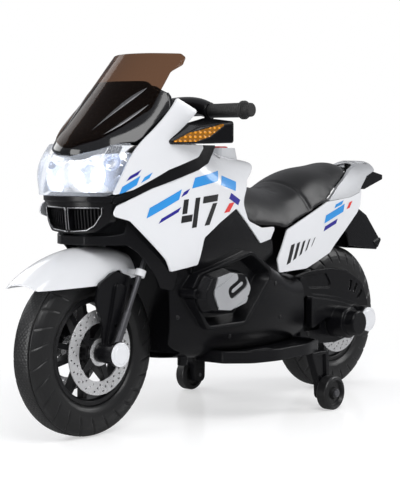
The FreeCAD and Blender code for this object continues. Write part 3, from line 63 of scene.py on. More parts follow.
# Places: x of the front and rear axle, height of both, the lamp bowl of the left side
FX, _, AZ = centre_of("front_axle")
RX = centre_of("rear_axle")[0]
BOWL_X, BOWL_Y, BOWL_Z = FX + 0.036, 0.042, AZ + 0.307
BOWL_RADIUS = 0.0343
SIDES = ((1, "left"), (-1, "right"))

# Rays start this far out at a side and ahead of the nose, and a miss takes the skin nearest to SKIN_Y
RAY_SIDE = 0.4
RAY_AHEAD = 1.0
SKIN_Y = 0.1

# Dark carrier of a brake disc: radii where its inner and outer edge blend
CARRIER_INNER = (0.0236, 0.0244)
CARRIER_OUTER = (0.0498, 0.0506)

# Seat pad: cloth pass with lengths in metres, pressure and number of frames, then the sewn crease
PAD_VOXEL = 0.005
PAD_INSET = 0.0012
PAD_SWELL = 0.0035
PAD_PRESSURE = 4.0
PAD_FRAMES = 20
CREASE_X, CREASE_Z = RX + 0.186, AZ + 0.28
CREASE_LEAN = 0.45
CREASE_DEPTH = 0.0026
CREASE_WIDTH = 0.004

# Studio floor: half its size, and the distances between which it fades to plain white
FLOOR_REACH = 14.0
FADE_NEAR, FADE_FAR = 0.55, 1.25

# Camera of the photo
CAMERA_AT = (2.06364, 1.72899, 0.48747)
CAMERA_AIM = (0.0318, -0.0252, 0.3182)
CAMERA_LENS = 102.13


# Materials

def shader(name):
    """New node material with its tree and its main shader."""
    m = bpy.data.materials.new(name)
    m.use_nodes = True
    tree = m.node_tree
    return m, tree, tree.nodes["Principled BSDF"]


def add(tree, kind, **values):
    """New node whose inputs or settings are given by name."""
    node = tree.nodes.new(kind)
    for key, value in values.items():
        if key in node.inputs:
            node.inputs[key].default_value = value
        else:
            setattr(node, key, value)
    return node


def spans(tree, source, low, high):
    """Value map of a 0 to 1 source to low..high."""
    node = add(tree, "ShaderNodeMapRange")
    node.inputs["To Min"].default_value = low
    node.inputs["To Max"].default_value = high
    tree.links.new(source, node.inputs["Value"])
    return node.outputs["Result"]


def tint(tree, source, dark, light):
    """Colour between dark and light, by a 0 to 1 source."""
    ramp = add(tree, "ShaderNodeValToRGB")
    ramp.color_ramp.elements[0].color = (*dark, 1)
    ramp.color_ramp.elements[1].color = (*light, 1)
    ramp.color_ramp.elements[0].position = 0.3
    ramp.color_ramp.elements[1].position = 0.7
    tree.links.new(source, ramp.inputs["Fac"])
    return ramp.outputs["Color"]


def finish_mat(name, color, rough, spread=0.05, grain=0.0, scale=900.0, kind="noise", cloud=9.0, shift=0.08,
               soften=0.0009, **sockets):
    """Principled finish with drifting tone and roughness and a fine surface grain."""
    m, tree, bsdf = shader(name)
    coord = add(tree, "ShaderNodeTexCoord").outputs["Object"]
    drift = add(tree, "ShaderNodeTexNoise", Scale=cloud, Detail=5.0, Roughness=0.55)
    tree.links.new(coord, drift.inputs["Vector"])
    dark = [c * (1 - shift) for c in color]
    light = [min(1.0, c * (1 + shift)) for c in color]
    tree.links.new(tint(tree, drift.outputs["Fac"], dark, light), bsdf.inputs["Base Color"])
    fine = add(tree, "ShaderNodeTexNoise", Scale=cloud * 7, Detail=3.0)
    tree.links.new(coord, fine.inputs["Vector"])
    gloss = spans(tree, fine.outputs["Fac"], max(0.02, rough - spread), rough + spread)
    tree.links.new(gloss, bsdf.inputs["Roughness"])
    edge = add(tree, "ShaderNodeBevel", Radius=soften)
    edge.samples = 4
    tree.links.new(edge.outputs["Normal"], bsdf.inputs["Normal"])
    if grain:
        if kind == "cells":
            skin = add(tree, "ShaderNodeTexVoronoi", Scale=scale)
            height = skin.outputs["Distance"]
        else:
            skin = add(tree, "ShaderNodeTexNoise", Scale=scale, Detail=2.0)
            height = skin.outputs["Fac"]
        tree.links.new(coord, skin.inputs["Vector"])
        bump = add(tree, "ShaderNodeBump", Strength=grain, Distance=0.0004)
        tree.links.new(height, bump.inputs["Height"])
        tree.links.new(edge.outputs["Normal"], bump.inputs["Normal"])
        tree.links.new(bump.outputs["Normal"], bsdf.inputs["Normal"])
    for key, value in sockets.items():
        bsdf.inputs[key.replace("_", " ")].default_value = value
    return m


def see_through(name, clear, gloss, share, rough=0.03, ribs=0.0, rib_scale=0.0):
    """Thin clear plastic: tinted see-through below a glossy face that strengthens at grazing angles."""
    m, tree, bsdf = shader(name)
    bsdf.inputs["Base Color"].default_value = (*gloss, 1)
    bsdf.inputs["Roughness"].default_value = rough
    coord = add(tree, "ShaderNodeTexCoord").outputs["Object"]
    haze = add(tree, "ShaderNodeTexNoise", Scale=16.0, Detail=4.0)
    tree.links.new(coord, haze.inputs["Vector"])
    tree.links.new(spans(tree, haze.outputs["Fac"], rough * 0.6, rough * 1.6), bsdf.inputs["Roughness"])
    if ribs:
        wave = add(tree, "ShaderNodeTexWave", Scale=rib_scale)
        wave.bands_direction = "Y"
        tree.links.new(coord, wave.inputs["Vector"])
        bump = add(tree, "ShaderNodeBump", Strength=ribs, Distance=0.001)
        tree.links.new(wave.outputs["Fac"], bump.inputs["Height"])
        tree.links.new(bump.outputs["Normal"], bsdf.inputs["Normal"])
    clear_node = add(tree, "ShaderNodeBsdfTransparent")
    clear_node.inputs["Color"].default_value = (*clear, 1)
    rim = add(tree, "ShaderNodeLayerWeight", Blend=0.25)
    mixer = add(tree, "ShaderNodeMixShader")
    tree.links.new(spans(tree, rim.outputs["Facing"], share, min(1.0, share + 0.55)), mixer.inputs["Fac"])
    tree.links.new(clear_node.outputs["BSDF"], mixer.inputs[1])
    tree.links.new(bsdf.outputs["BSDF"], mixer.inputs[2])
    tree.links.new(mixer.outputs["Shader"], tree.nodes["Material Output"].inputs["Surface"])
    return m


def reeded(name, color, glow, scale):
    """Moulded lens colour with a grid of small prisms, painted darker in the grooves between them as
    painted shade, and given a faint painted glow of the same colours.
    """
    m = finish_mat(name, color, 0.12, 0.03, shift=0.12, Coat_Weight=0.6, Coat_Roughness=0.04)
    tree = m.node_tree
    bsdf = tree.nodes["Principled BSDF"]
    coord = add(tree, "ShaderNodeTexCoord").outputs["Object"]
    heights = []
    for axis in ("X", "Z"):
        wave = add(tree, "ShaderNodeTexWave", Scale=scale)
        wave.bands_direction = axis
        tree.links.new(coord, wave.inputs["Vector"])
        heights.append(wave.outputs["Fac"])
    both = add(tree, "ShaderNodeMath", operation="MULTIPLY")
    tree.links.new(heights[0], both.inputs[0])
    tree.links.new(heights[1], both.inputs[1])
    bump = add(tree, "ShaderNodeBump", Strength=0.9, Distance=0.002)
    tree.links.new(both.outputs["Value"], bump.inputs["Height"])
    tree.links.new(bump.outputs["Normal"], bsdf.inputs["Normal"])
    # Painted shade: the lens colour darkens in the grooves of the prism grid.
    painted_groove_shade = tint(tree, both.outputs["Value"], [c * 0.3 for c in color], color)
    tree.links.new(painted_groove_shade, bsdf.inputs["Base Color"])
    tree.links.new(painted_groove_shade, bsdf.inputs["Emission Color"])
    # Painted glow: a faint light of the lens's own colours.
    bsdf.inputs["Emission Strength"].default_value = glow
    return m


def span_from(tree, where, mirror=False):
    """Distance of a shaded point from a place, on both sides of the bike where mirrored."""
    coord = add(tree, "ShaderNodeTexCoord").outputs["Object"]
    if mirror:
        fold = add(tree, "ShaderNodeVectorMath", operation="ABSOLUTE")
        tree.links.new(coord, fold.inputs[0])
        coord = fold.outputs["Vector"]
    away = add(tree, "ShaderNodeVectorMath", operation="DISTANCE")
    tree.links.new(coord, away.inputs[0])
    away.inputs[1].default_value = where
    return away.outputs["Value"]


def blend(tree, source, near, far, start, end):
    """Smooth change from start to end while the source goes from near to far."""
    node = add(tree, "ShaderNodeMapRange", interpolation_type="SMOOTHSTEP")
    for key, value in (("From Min", near), ("From Max", far), ("To Min", start), ("To Max", end)):
        node.inputs[key].default_value = value
    tree.links.new(source, node.inputs["Value"])
    return node.outputs["Result"]


def painted_glow_reflector():
    """Reflector with painted light of the lamps: bright bowls that glow round the two lamps as a painted
    pool of light, with cool facets between that share the painted glow.
    """
    m, tree, bsdf = shader("reflector_painted_glow")
    coord = add(tree, "ShaderNodeTexCoord").outputs["Object"]
    facet = add(tree, "ShaderNodeTexVoronoi", Scale=34.0)
    facet.distance = "CHEBYCHEV"
    tree.links.new(coord, facet.inputs["Vector"])
    bump = add(tree, "ShaderNodeBump", Strength=0.55, Distance=0.012)
    tree.links.new(facet.outputs["Distance"], bump.inputs["Height"])
    tree.links.new(bump.outputs["Normal"], bsdf.inputs["Normal"])
    tone = tint(tree, facet.outputs["Color"], (0.62, 0.68, 0.82), (1.0, 1.0, 1.0))
    tree.links.new(tone, bsdf.inputs["Base Color"])
    tree.links.new(tone, bsdf.inputs["Emission Color"])
    # Painted light: the glow is strongest near each bowl's middle and fades outward, standing for the
    # lamps' light on the reflector.
    near = span_from(tree, (BOWL_X, BOWL_Y, BOWL_Z - 0.002), True)
    tree.links.new(blend(tree, near, 0.016, 0.06, 1.25, 0.05), bsdf.inputs["Emission Strength"])
    bsdf.inputs["Metallic"].default_value = 0.85
    bsdf.inputs["Roughness"].default_value = 0.14
    return m


def disc_mat(name, x):
    """Perforated bright band and collar on a dark carrier."""
    m = finish_mat(name, (0.9, 0.9, 0.91), 0.28, 0.05, Metallic=0.72)
    tree = m.node_tree
    bsdf = tree.nodes["Principled BSDF"]
    flat = add(tree, "ShaderNodeVectorMath", operation="MULTIPLY")
    tree.links.new(add(tree, "ShaderNodeTexCoord").outputs["Object"], flat.inputs[0])
    flat.inputs[1].default_value = (1, 0, 1)
    away = add(tree, "ShaderNodeVectorMath", operation="DISTANCE")
    tree.links.new(flat.outputs["Vector"], away.inputs[0])
    away.inputs[1].default_value = (x, 0, AZ)
    inside = blend(tree, away.outputs["Value"], *CARRIER_OUTER, 1.0, 0.0)
    outside = blend(tree, away.outputs["Value"], *CARRIER_INNER, 0.0, 1.0)
    both = add(tree, "ShaderNodeMath", operation="MULTIPLY")
    tree.links.new(inside, both.inputs[0])
    tree.links.new(outside, both.inputs[1])
    # In the colour mix, inputs 0, 6 and 7 are factor and both colours, and output 2 is the result.
    paint = add(tree, "ShaderNodeMix", data_type="RGBA")
    tree.links.new(both.outputs["Value"], paint.inputs[0])
    tree.links.new(bsdf.inputs["Base Color"].links[0].from_socket, paint.inputs[6])
    paint.inputs[7].default_value = (0.01, 0.01, 0.011, 1)
    tree.links.new(paint.outputs[2], bsdf.inputs["Base Color"])
    tree.links.new(spans(tree, both.outputs["Value"], 0.72, 0.0), bsdf.inputs["Metallic"])
    return m


def glow(name, color, strength):
    """Finish that gives light of its own colour."""
    m = finish_mat(name, color, 0.2)
    bsdf = m.node_tree.nodes["Principled BSDF"]
    bsdf.inputs["Emission Color"].default_value = (*color, 1)
    bsdf.inputs["Emission Strength"].default_value = strength
    return m


def banded_rubber(name, color, scale):
    """Rubber with fine rings across the bike."""
    m = finish_mat(name, color, 0.62, 0.06)
    tree = m.node_tree
    coord = add(tree, "ShaderNodeTexCoord").outputs["Object"]
    wave = add(tree, "ShaderNodeTexWave", Scale=scale)
    wave.bands_direction = "Y"
    tree.links.new(coord, wave.inputs["Vector"])
    bump = add(tree, "ShaderNodeBump", Strength=0.5, Distance=0.001)
    tree.links.new(wave.outputs["Fac"], bump.inputs["Height"])
    tree.links.new(bump.outputs["Normal"], tree.nodes["Principled BSDF"].inputs["Normal"])
    return m


WHITE = finish_mat("white_gloss", (0.8, 0.81, 0.835), 0.22, 0.04, 0.03, 500, shift=0.012, Coat_Weight=0.5,
                   Coat_Roughness=0.06)
GLOSS = finish_mat("black_gloss", (0.005, 0.005, 0.006), 0.1, 0.03, 0.02, 400, soften=0.002,
                   Coat_Weight=0.3, Coat_Roughness=0.03, Specular_IOR_Level=0.4)
SATIN = finish_mat("black_satin", (0.005, 0.005, 0.006), 0.2, 0.04, 0.08, 1500, soften=0.003,
                   Specular_IOR_Level=0.32)
GRAIN = finish_mat("black_grain", (0.005, 0.005, 0.006), 0.22, 0.05, 0.1, 1300, "cells", soften=0.0035,
                   Specular_IOR_Level=0.3)
TYRE = finish_mat("tyre", (0.012, 0.012, 0.0125), 0.34, 0.06, 0.1, 1100, Specular_IOR_Level=0.5)
RIM = finish_mat("rim_black", (0.01, 0.01, 0.011), 0.3, 0.06, 0.08, 1400)
DISC = finish_mat("disc_metal", (0.72, 0.72, 0.73), 0.24, 0.08, 0.06, 700, Metallic=0.95)
# Bright steel of the grille beads is a painted highlight along the rim edges.
HIGHLIGHT_STEEL = finish_mat("bead_painted_highlight", (0.4, 0.4, 0.415), 0.2, 0.05, Metallic=1.0)
ROD = finish_mat("rod_steel", (0.13, 0.13, 0.14), 0.3, 0.05, Metallic=0.7)
# Grey of the shield spears is a painted highlight, put where the shield's scoops catch reflections.
SPEAR_PAINTED_HIGHLIGHT = finish_mat("spear_painted_highlight", (0.1, 0.1, 0.105), 0.26, 0.04, Metallic=0.5)
SILVER = finish_mat("silver_paint", (0.62, 0.63, 0.65), 0.36, 0.04, Metallic=0.6)
SMOKE = see_through("smoke_shield", (0.44, 0.315, 0.24), (0.016, 0.01, 0.007), 0.1, 0.05)
CLEAR = see_through("clear_lens", (0.97, 0.98, 1.0), (0.75, 0.79, 0.86), 0.1, 0.03, 0.25, 40.0)
# Signal and tail lenses: the last number but one is the strength of their painted glow.
AMBER = reeded("amber_lens", (0.86, 0.33, 0.015), 0.14, 40.0)
RED = reeded("red_lens", (0.55, 0.012, 0.012), 0.1, 40.0)
RUBBER = banded_rubber("grip_rubber", (0.014, 0.014, 0.014), 70.0)
SEAT = finish_mat("seat_skin", (0.01, 0.01, 0.011), 0.3, 0.05, 0.25, 900, "cells", Specular_IOR_Level=0.42)
CONSOLE = finish_mat("console_grey", (0.46, 0.47, 0.49), 0.35, 0.06, 0.15, 1200)
SWITCH = finish_mat("switch_red", (0.5, 0.02, 0.02), 0.25)
MOTOR = finish_mat("motor_metal", (0.3, 0.3, 0.31), 0.35, Metallic=0.8)
CASE = finish_mat("battery_case", (0.03, 0.03, 0.035), 0.5, 0.06, 0.2, 1000)
LAMP = glow("lamp_lit", (1.0, 1.0, 1.0), 2.2)
# Reflector whose glow round the lamps is painted light.
PAINTED_GLOW_REFLECTOR = painted_glow_reflector()
SKY = finish_mat("decal_sky", (0.03, 0.3, 0.75), 0.25, 0.03, shift=0.02, Coat_Weight=0.5)
NAVY = finish_mat("decal_navy", (0.025, 0.02, 0.28), 0.25, 0.03, shift=0.02, Coat_Weight=0.5)
CORAL = finish_mat("decal_red", (0.72, 0.045, 0.04), 0.25, 0.03, shift=0.02, Coat_Weight=0.5)
INK = finish_mat("decal_ink", (0.012, 0.012, 0.013), 0.3, 0.03, shift=0.02, Coat_Weight=0.4)

BY_SLOT = {
    "gloss_white": WHITE, "gloss_black": GLOSS, "satin_black": SATIN, "grain_black": GRAIN,
    "tyre_black": TYRE, "rim_black": RIM, "disc_chrome": DISC, "rod_steel": ROD, "silver_plastic": SILVER,
    "clear_lens": CLEAR, "smoke_shield": SMOKE, "bright_reflector": PAINTED_GLOW_REFLECTOR, "white_lamp": LAMP,
    "amber_lens": AMBER, "red_lens": RED, "grip_rubber": RUBBER, "seat_black": SEAT,
    "console_grey": CONSOLE, "switch_red": SWITCH, "motor_metal": MOTOR, "battery_case": CASE,
}
OWN = {"front_discs": disc_mat("front_disc_metal", FX), "rear_disc": disc_mat("rear_disc_metal", RX)}
for part in frame["record"]["subparts"]:
    node = nodes[part["node"]]
    node.data.materials.clear()
    node.data.materials.append(OWN.get(part["node"], BY_SLOT[part["material_slot"]]))


# Meshes laid on the CAD surfaces

def mesh_object(name, verts, faces, material, body, smooth=True):
    """New mesh in the scene that rides on a body."""
    mesh = bpy.data.meshes.new(name)
    mesh.from_pydata([tuple(v) for v in verts], [], [tuple(f) for f in faces])
    mesh.validate()
    if smooth:
        mesh.polygons.foreach_set("use_smooth", [True] * len(mesh.polygons))
    mesh.materials.append(material)
    obj = bpy.data.objects.new(name, mesh)
    scene.collection.objects.link(obj)
    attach(obj, body)
    return obj


def tree_of(*names):
    """Search tree over the faces of the named nodes."""
    verts, polys = [], []
    for name in names:
        base = len(verts)
        mesh = nodes[name].data
        verts += [v.co.copy() for v in mesh.vertices]
        polys += [[base + i for i in p.vertices] for p in mesh.polygons]
    return BVHTree.FromPolygons(verts, polys)


def side_hit(tree, x, z, side, nearest=False):
    """Where a ray from the side meets a panel, with the normal turned outward."""
    hit, normal, _, _ = tree.ray_cast(Vector((x, side * RAY_SIDE, z)), Vector((0, -side, 0)))
    if hit is None and nearest:
        hit, normal, _, _ = tree.find_nearest(Vector((x, side * SKIN_Y, z)))
    if hit is not None and normal.y * side < 0:
        normal = -normal
    return hit, normal


def front_hit(tree, y, z):
    """Where a ray from the front meets the nose."""
    return tree.ray_cast(Vector((RAY_AHEAD, y, z)), Vector((-1, 0, 0)))[:2]


def ring_faces(rings, sides):
    """Quads between neighbouring closed rings of points."""
    faces = []
    for i in range(rings - 1):
        for k in range(sides):
            m = (k + 1) % sides
            faces.append((i * sides + k, i * sides + m, (i + 1) * sides + m, (i + 1) * sides + k))
    return faces


def fill(outline, step):
    """Triangles inside a 2-D outline, with inner points every step."""
    pts = [Vector(p) for p in outline]
    count = len(pts)
    edge = []
    for i in range(count):
        a, b = pts[i], pts[(i + 1) % count]
        parts = max(1, int((b - a).length / step))
        edge += [a.lerp(b, k / parts) for k in range(parts)]
    lo = Vector((min(p.x for p in edge), min(p.y for p in edge)))
    hi = Vector((max(p.x for p in edge), max(p.y for p in edge)))
    inner = []
    for i in range(1, int((hi.x - lo.x) / step) + 1):
        for k in range(1, int((hi.y - lo.y) / step) + 1):
            inner.append(Vector((lo.x + i * step, lo.y + k * step)))
    ring = list(range(len(edge)))
    made = delaunay_2d_cdt(edge + inner, [], [ring], 1, 1e-7)
    return made[0], made[2]


def decal(name, outline, tree, side, material, lift=0.0004, step=0.006):
    """Flat sticker given in side view (d, h) from the front axle, laid on the panel below it."""
    flat, faces = fill([(FX + d / 1000, AZ + h / 1000) for d, h in outline], step)
    verts = []
    for p in flat:
        hit, normal = side_hit(tree, p.x, p.y, side, True)
        verts.append(hit + normal * lift)
    if side > 0:
        faces = [tuple(reversed(f)) for f in faces]
    return mesh_object(name, verts, faces, material, "chassis")


def both_sides(name, outline, node, material):
    """The same sticker on the left and the right panel."""
    for side, word in SIDES:
        decal(name + "_" + word, outline, tree_of(node + "_" + word), side, material)


def block(d0, h0, d1, h1, height0, height1, lean):
    """Slanted block whose lower edge runs from (d0, h0) to (d1, h1)."""
    return [(d0, h0), (d1, h1), (d1 - lean, h1 + height1), (d0 - lean, h0 + height0)]


def dash(d, h, length, height, slope, lean=7.0):
    """Speed line that runs to the rear from (d, h), with both ends cut on a lean."""
    return block(d, h, d - length, h + slope * length, height, height, lean)


def graphics():
    """Own speed marks: broken lines of uneven length, with a red diamond on the side and tail panels."""
    marks = {
        "side_fairing": [
            (SKY, dash(-46, 232, 74, 18, 0.42)), (NAVY, dash(-72, 222, 46, 9, 0.42)),
            (NAVY, dash(-125, 267, 15, 9, 0.4)), (SKY, dash(-152, 282, 70, 19, 0.17)),
            (SKY, dash(-230, 287, 48, 17, -0.25)), (NAVY, dash(-256, 262, 30, 10, -0.45)),
            (CORAL, dash(-240, 236, 17, 17, 0.1, 17.0)),
        ],
        "upper_fairing": [
            (SKY, dash(8, 271, 34, 16, 0.55)), (NAVY, dash(-6, 296, 22, 9, 0.5)),
            (SKY, dash(-34, 293, 16, 10, 0.5)),
        ],
        "tail_panel": [
            (SKY, dash(-598, 203, 80, 16, 0.27)), (NAVY, dash(-594, 187, 52, 10, 0.27)),
            (SKY, dash(-640, 232, 34, 8, 0.24)), (CORAL, dash(-692, 229, 14, 14, 0.2, 14.0)),
        ],
    }
    for panel, lines in marks.items():
        for index, (paint, outline) in enumerate(lines):
            both_sides("mark_%s_%d" % (panel, index), outline, panel, paint)
    for i in range(5):
        d, h = -462 - 21 * i, 127 + 7.5 * i
        outline = block(d, h, d - 13 + 2 * i, h + 4, 38 - 5 * i, 37 - 5 * i, 13)
        both_sides("bar_tail_%d" % i, outline, "tail_panel", INK)


def digits():
    """Plain stencilled race number four-seven on both sides, drawn to read from its own side."""
    four = [[(0, 52), (14, 52), (14, 27), (0, 27)], [(0, 24), (31, 24), (31, 12), (0, 12)],
            [(34, 52), (48, 52), (48, 0), (34, 0)]]
    seven = [[(58, 52), (106, 52), (106, 40), (58, 40)], [(91, 37), (106, 37), (88, 0), (72, 0)]]
    middle_a, middle_b = 53, 26
    narrow, slant, tilt = 0.86, 0.22, 0.09
    place_d, place_h = -172, 214
    for side, word in SIDES:
        tree = tree_of("side_fairing_" + word)
        for index, shape in enumerate(four + seven):
            outline = []
            for a, b in shape:
                across = (a - middle_a) * narrow + slant * (b - middle_b)
                outline.append((place_d - side * across, place_h + b + side * tilt * across))
            decal("number_%d_%s" % (index, word), outline, tree, side, INK)


def screws():
    """Low cross-recessed screw heads sunk on the black panels and arms."""
    places = [("body_shell", -142, 52), ("body_shell", -142, 152), ("body_shell", -404, 96),
              ("body_shell", -420, 30), ("body_shell", -262, 8), ("rear_arm", -552, 84),
              ("rear_arm", -552, -18)]
    radius = 0.0042
    for index, (node, d, h) in enumerate(places):
        for side, word in SIDES:
            tree = tree_of(node + "_" + word)
            hit, normal = side_hit(tree, FX + d / 1000, AZ + h / 1000, side)
            if hit is not None:
                fastener("screw_%d_%s" % (index, word), hit, normal, radius)


def fastener(name, at, normal, radius):
    """Domed head whose middle is pressed in by a cross."""
    a = normal.orthogonal().normalized()
    b = normal.cross(a)
    rings = [0.0, 0.25, 0.42, 0.6, 0.8, 0.93, 1.0]
    sides = 32
    foot, rise, recess = 0.0002, 0.0012, 0.0009
    verts = []
    for r in rings:
        for k in range(sides):
            turn = 2 * math.pi * k / sides
            dome = rise * math.sqrt(max(0.0, 1.0 - (r * 0.96) ** 2)) + foot
            cross = abs(math.cos(2 * turn)) > 0.86 and r < 0.62
            lift = dome - (recess if cross else 0.0)
            verts.append(at + (a * math.cos(turn) + b * math.sin(turn)) * (radius * r) + normal * lift)
    mesh_object(name, verts, ring_faces(len(rings), sides), RIM, "chassis")


def engine_bars():
    """Short bright bar that lies in the open slot of each engine plate."""
    tree = tree_of("engine_covers")
    lean = math.radians(26.0)
    place_d, place_h = -236, 97
    corners = [(-3, -3.4), (26, -3.4), (29, -1.2), (29, 1.2), (26, 3.4), (-3, 3.4), (-6, 1.2), (-6, -1.2)]
    outline = []
    for a, b in corners:
        d = place_d - a * math.cos(lean) + b * math.sin(lean)
        outline.append((d, place_h + a * math.sin(lean) + b * math.cos(lean)))
    for side, word in SIDES:
        decal("engine_bar_" + word, outline, tree, side, SILVER, lift=0.0012)


def badge():
    """Plain round badge without any sign on each side of the tank, from a profile of radius and rise."""
    profile = [(0.0, 0.0008), (0.0088, 0.0008), (0.0092, 0.0016), (0.0112, 0.0017), (0.0116, 0.0012),
               (0.0118, -0.0006)]
    sides = 48
    for side, word in SIDES:
        tree = tree_of("side_fairing_" + word)
        hit, normal = side_hit(tree, FX - 0.262, AZ + 0.342, side)
        a = normal.cross(Vector((0, 0, 1))).normalized()
        b = normal.cross(a)
        verts = []
        for r, lift in profile:
            for k in range(sides):
                turn = 2 * math.pi * k / sides
                verts.append(hit + (a * math.cos(turn) + b * math.sin(turn)) * r + normal * lift)
        mesh_object("tank_badge_" + word, verts, ring_faces(len(profile), sides), SILVER, "chassis", False)


def nose_painted_highlight_spears():
    """Two slim grey spears on each side of the shield, as shallow lens-shaped strips raised like ridges,
    whose grey is a painted highlight for the reflections on the shield's scoops.
    """
    tree = tree_of("windshield", "front_cowl")
    rings = 22
    runs = [((34, 382), (70, 458), 5.0), ((56, 375), (86, 428), 3.4)]
    for side, word in SIDES:
        for index, (start, end, wide) in enumerate(runs):
            verts, faces = [], []
            for i in range(rings + 1):
                t = i / rings
                half = wide * math.sin(math.pi * t) ** 0.8 * (0.55 + 0.9 * t) / 1.3
                y0 = start[0] + (end[0] - start[0]) * t
                h0 = start[1] + (end[1] - start[1]) * t + 6 * math.sin(math.pi * t) * (-1 if index else 1)
                for k in (-1, -0.4, 0.4, 1):
                    y = (y0 + k * half * 0.8) / 1000
                    h = (h0 - k * half * 0.5) / 1000
                    hit, normal = front_hit(tree, side * y, AZ + h)
                    rise = 0.0004 + 0.0012 * (1 - abs(k)) * math.sin(math.pi * t)
                    if normal.x < 0:
                        normal = -normal
                    verts.append(hit + normal * rise)
            for i in range(rings):
                for k in range(3):
                    a = i * 4 + k
                    quad = (a, a + 1, a + 5, a + 4)
                    faces.append(quad if side > 0 else tuple(reversed(quad)))
            mesh_object("spear_%d_%s" % (index, word), verts, faces, SPEAR_PAINTED_HIGHLIGHT, "chassis")


def tube(name, points, radius, material, body, sides=8):
    """Round bead along a closed path of points."""
    pts = [Vector(p) for p in points]
    count = len(pts)
    verts, faces = [], []
    for i, p in enumerate(pts):
        along = (pts[(i + 1) % count] - pts[i - 1]).normalized()
        a = along.cross(Vector((1, 0, 0.01))).normalized()
        b = along.cross(a)
        for k in range(sides):
            turn = 2 * math.pi * k / sides
            verts.append(p + (a * math.cos(turn) + b * math.sin(turn)) * radius)
    for i in range(count):
        for k in range(sides):
            n = (i + 1) % count
            m = (k + 1) % sides
            faces.append((i * sides + k, i * sides + m, n * sides + m, n * sides + k))
    return mesh_object(name, verts, faces, material, body)


def painted_glow_bowl_floors():
    """Floor that closes each lamp bowl behind its lamp, bright with the reflector's painted glow."""
    rings, sides = 8, 40
    for side, word in SIDES:
        verts = []
        for i in range(rings + 1):
            r = 0.0005 + 0.0165 * i / rings
            x = BOWL_X - math.sqrt(BOWL_RADIUS ** 2 - r * r)
            for k in range(sides):
                turn = 2 * math.pi * k / sides
                verts.append((x, side * BOWL_Y + r * math.cos(turn), BOWL_Z + r * math.sin(turn)))
        faces = [tuple(reversed(f)) for f in ring_faces(rings + 1, sides)]
        mesh_object("bowl_floor_" + word, verts, faces, PAINTED_GLOW_REFLECTOR, "chassis")


def grille_highlight_bead():
    """Bright steel bead on the raised rim of each grille opening, its brightness a painted highlight along
    the rim's edge.
    """
    tree = tree_of("grille_frame")
    corners = [(3, 250.5), (68, 251.5), (67.5, 240), (55, 221), (40.5, 212.5), (3, 209.5)]
    for side, word in SIDES:
        path = []
        for i, (y0, h0) in enumerate(corners):
            y1, h1 = corners[(i + 1) % len(corners)]
            for k in range(8):
                t = k / 8
                y, h = y0 + (y1 - y0) * t, h0 + (h1 - h0) * t
                hit, _ = front_hit(tree, side * y / 1000, AZ + h / 1000)
                if hit is not None:
                    path.append(hit)
        tube("grille_bead_" + word, path, 0.0011, HIGHLIGHT_STEEL, "chassis")


# Tyres

def tyre(name, x, node, body):
    """Tyre in millimetres: slanted shoulder cuts, a parting groove each side and a small-block crown."""
    half_profile = [(-22, 95), (-25, 96.2), (-28, 100), (-30.2, 106), (-31, 113), (-31, 121), (-30.2, 129),
                    (-27.8, 137), (-24, 143.6), (-20.4, 147), (-18.9, 147.8), (-18.3, 145.2),
                    (-17.2, 145.2), (-16.6, 148.6), (-12, 149.6), (-6, 149.9), (0, 150)]
    grain = 1.6
    outer, shoulder = 150, 132
    cuts, cut_depth, cut_width = 26, 2.0, 1.6
    block_depth, block_length, block_width = 1.5, 9.5, 8.0
    slices = 720
    corners = half_profile + [(-y, r) for y, r in reversed(half_profile[:-1])]
    profile = []
    for (y0, r0), (y1, r1) in zip(corners, corners[1:]):
        parts = max(1, int(math.hypot(y1 - y0, r1 - r0) / grain))
        profile += [(y0 + (y1 - y0) * k / parts, r0 + (r1 - r0) * k / parts) for k in range(parts)]
    profile.append(corners[-1])
    prof = np.array(profile)
    turn = np.arange(slices) * 2 * math.pi / slices
    y = prof[:, 0][None, :]
    r = prof[:, 1][None, :]
    side = np.sign(y)
    phase = turn[:, None] * cuts / (2 * math.pi) + side * 0.25 + (r - 130) / 34 * 0.55
    gap = np.abs(phase - np.round(phase)) * 2 * math.pi * shoulder / cuts
    window = np.clip((r - 113) / 8, 0, 1) * np.clip((147.5 - r) / 3, 0, 1) * (np.abs(y) > 19)
    depth = cut_depth * np.exp(-(gap / cut_width) ** 2) * window
    crown = np.clip((16.2 - np.abs(y)) / 0.6, 0, 1)
    a = turn[:, None] * outer / block_length
    b = y / block_width
    lattice = np.maximum(np.abs(np.mod(a + b, 1) - 0.5), np.abs(np.mod(a - b, 1) - 0.5))
    blocks = np.clip(lattice * 2 - 0.72, 0, 0.28) / 0.28
    depth = depth + block_depth * blocks * crown
    middle = np.array([0.0, 122.0])
    away = prof - middle
    away /= np.linalg.norm(away, axis=1)[:, None]
    yy = y - depth * away[:, 0][None, :]
    rr = r - depth * away[:, 1][None, :]
    ahead = x + rr / 1000 * np.cos(turn)[:, None]
    height = AZ + rr / 1000 * np.sin(turn)[:, None]
    verts = np.stack([ahead, yy / 1000, height], -1)
    n = len(prof)
    faces = []
    for i in range(slices):
        k = (i + 1) % slices
        for j in range(n - 1):
            faces.append((i * n + j, i * n + j + 1, k * n + j + 1, k * n + j))
        faces.append((i * n + n - 1, i * n, k * n, k * n + n - 1))
    obj = mesh_object(name, verts.reshape(-1, 3), faces, TYRE, body)
    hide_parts(node)
    return obj


def baked(obj):
    """Mesh of an object with its modifiers applied."""
    bpy.context.view_layer.update()
    return bpy.data.meshes.new_from_object(obj.evaluated_get(bpy.context.evaluated_depsgraph_get()))


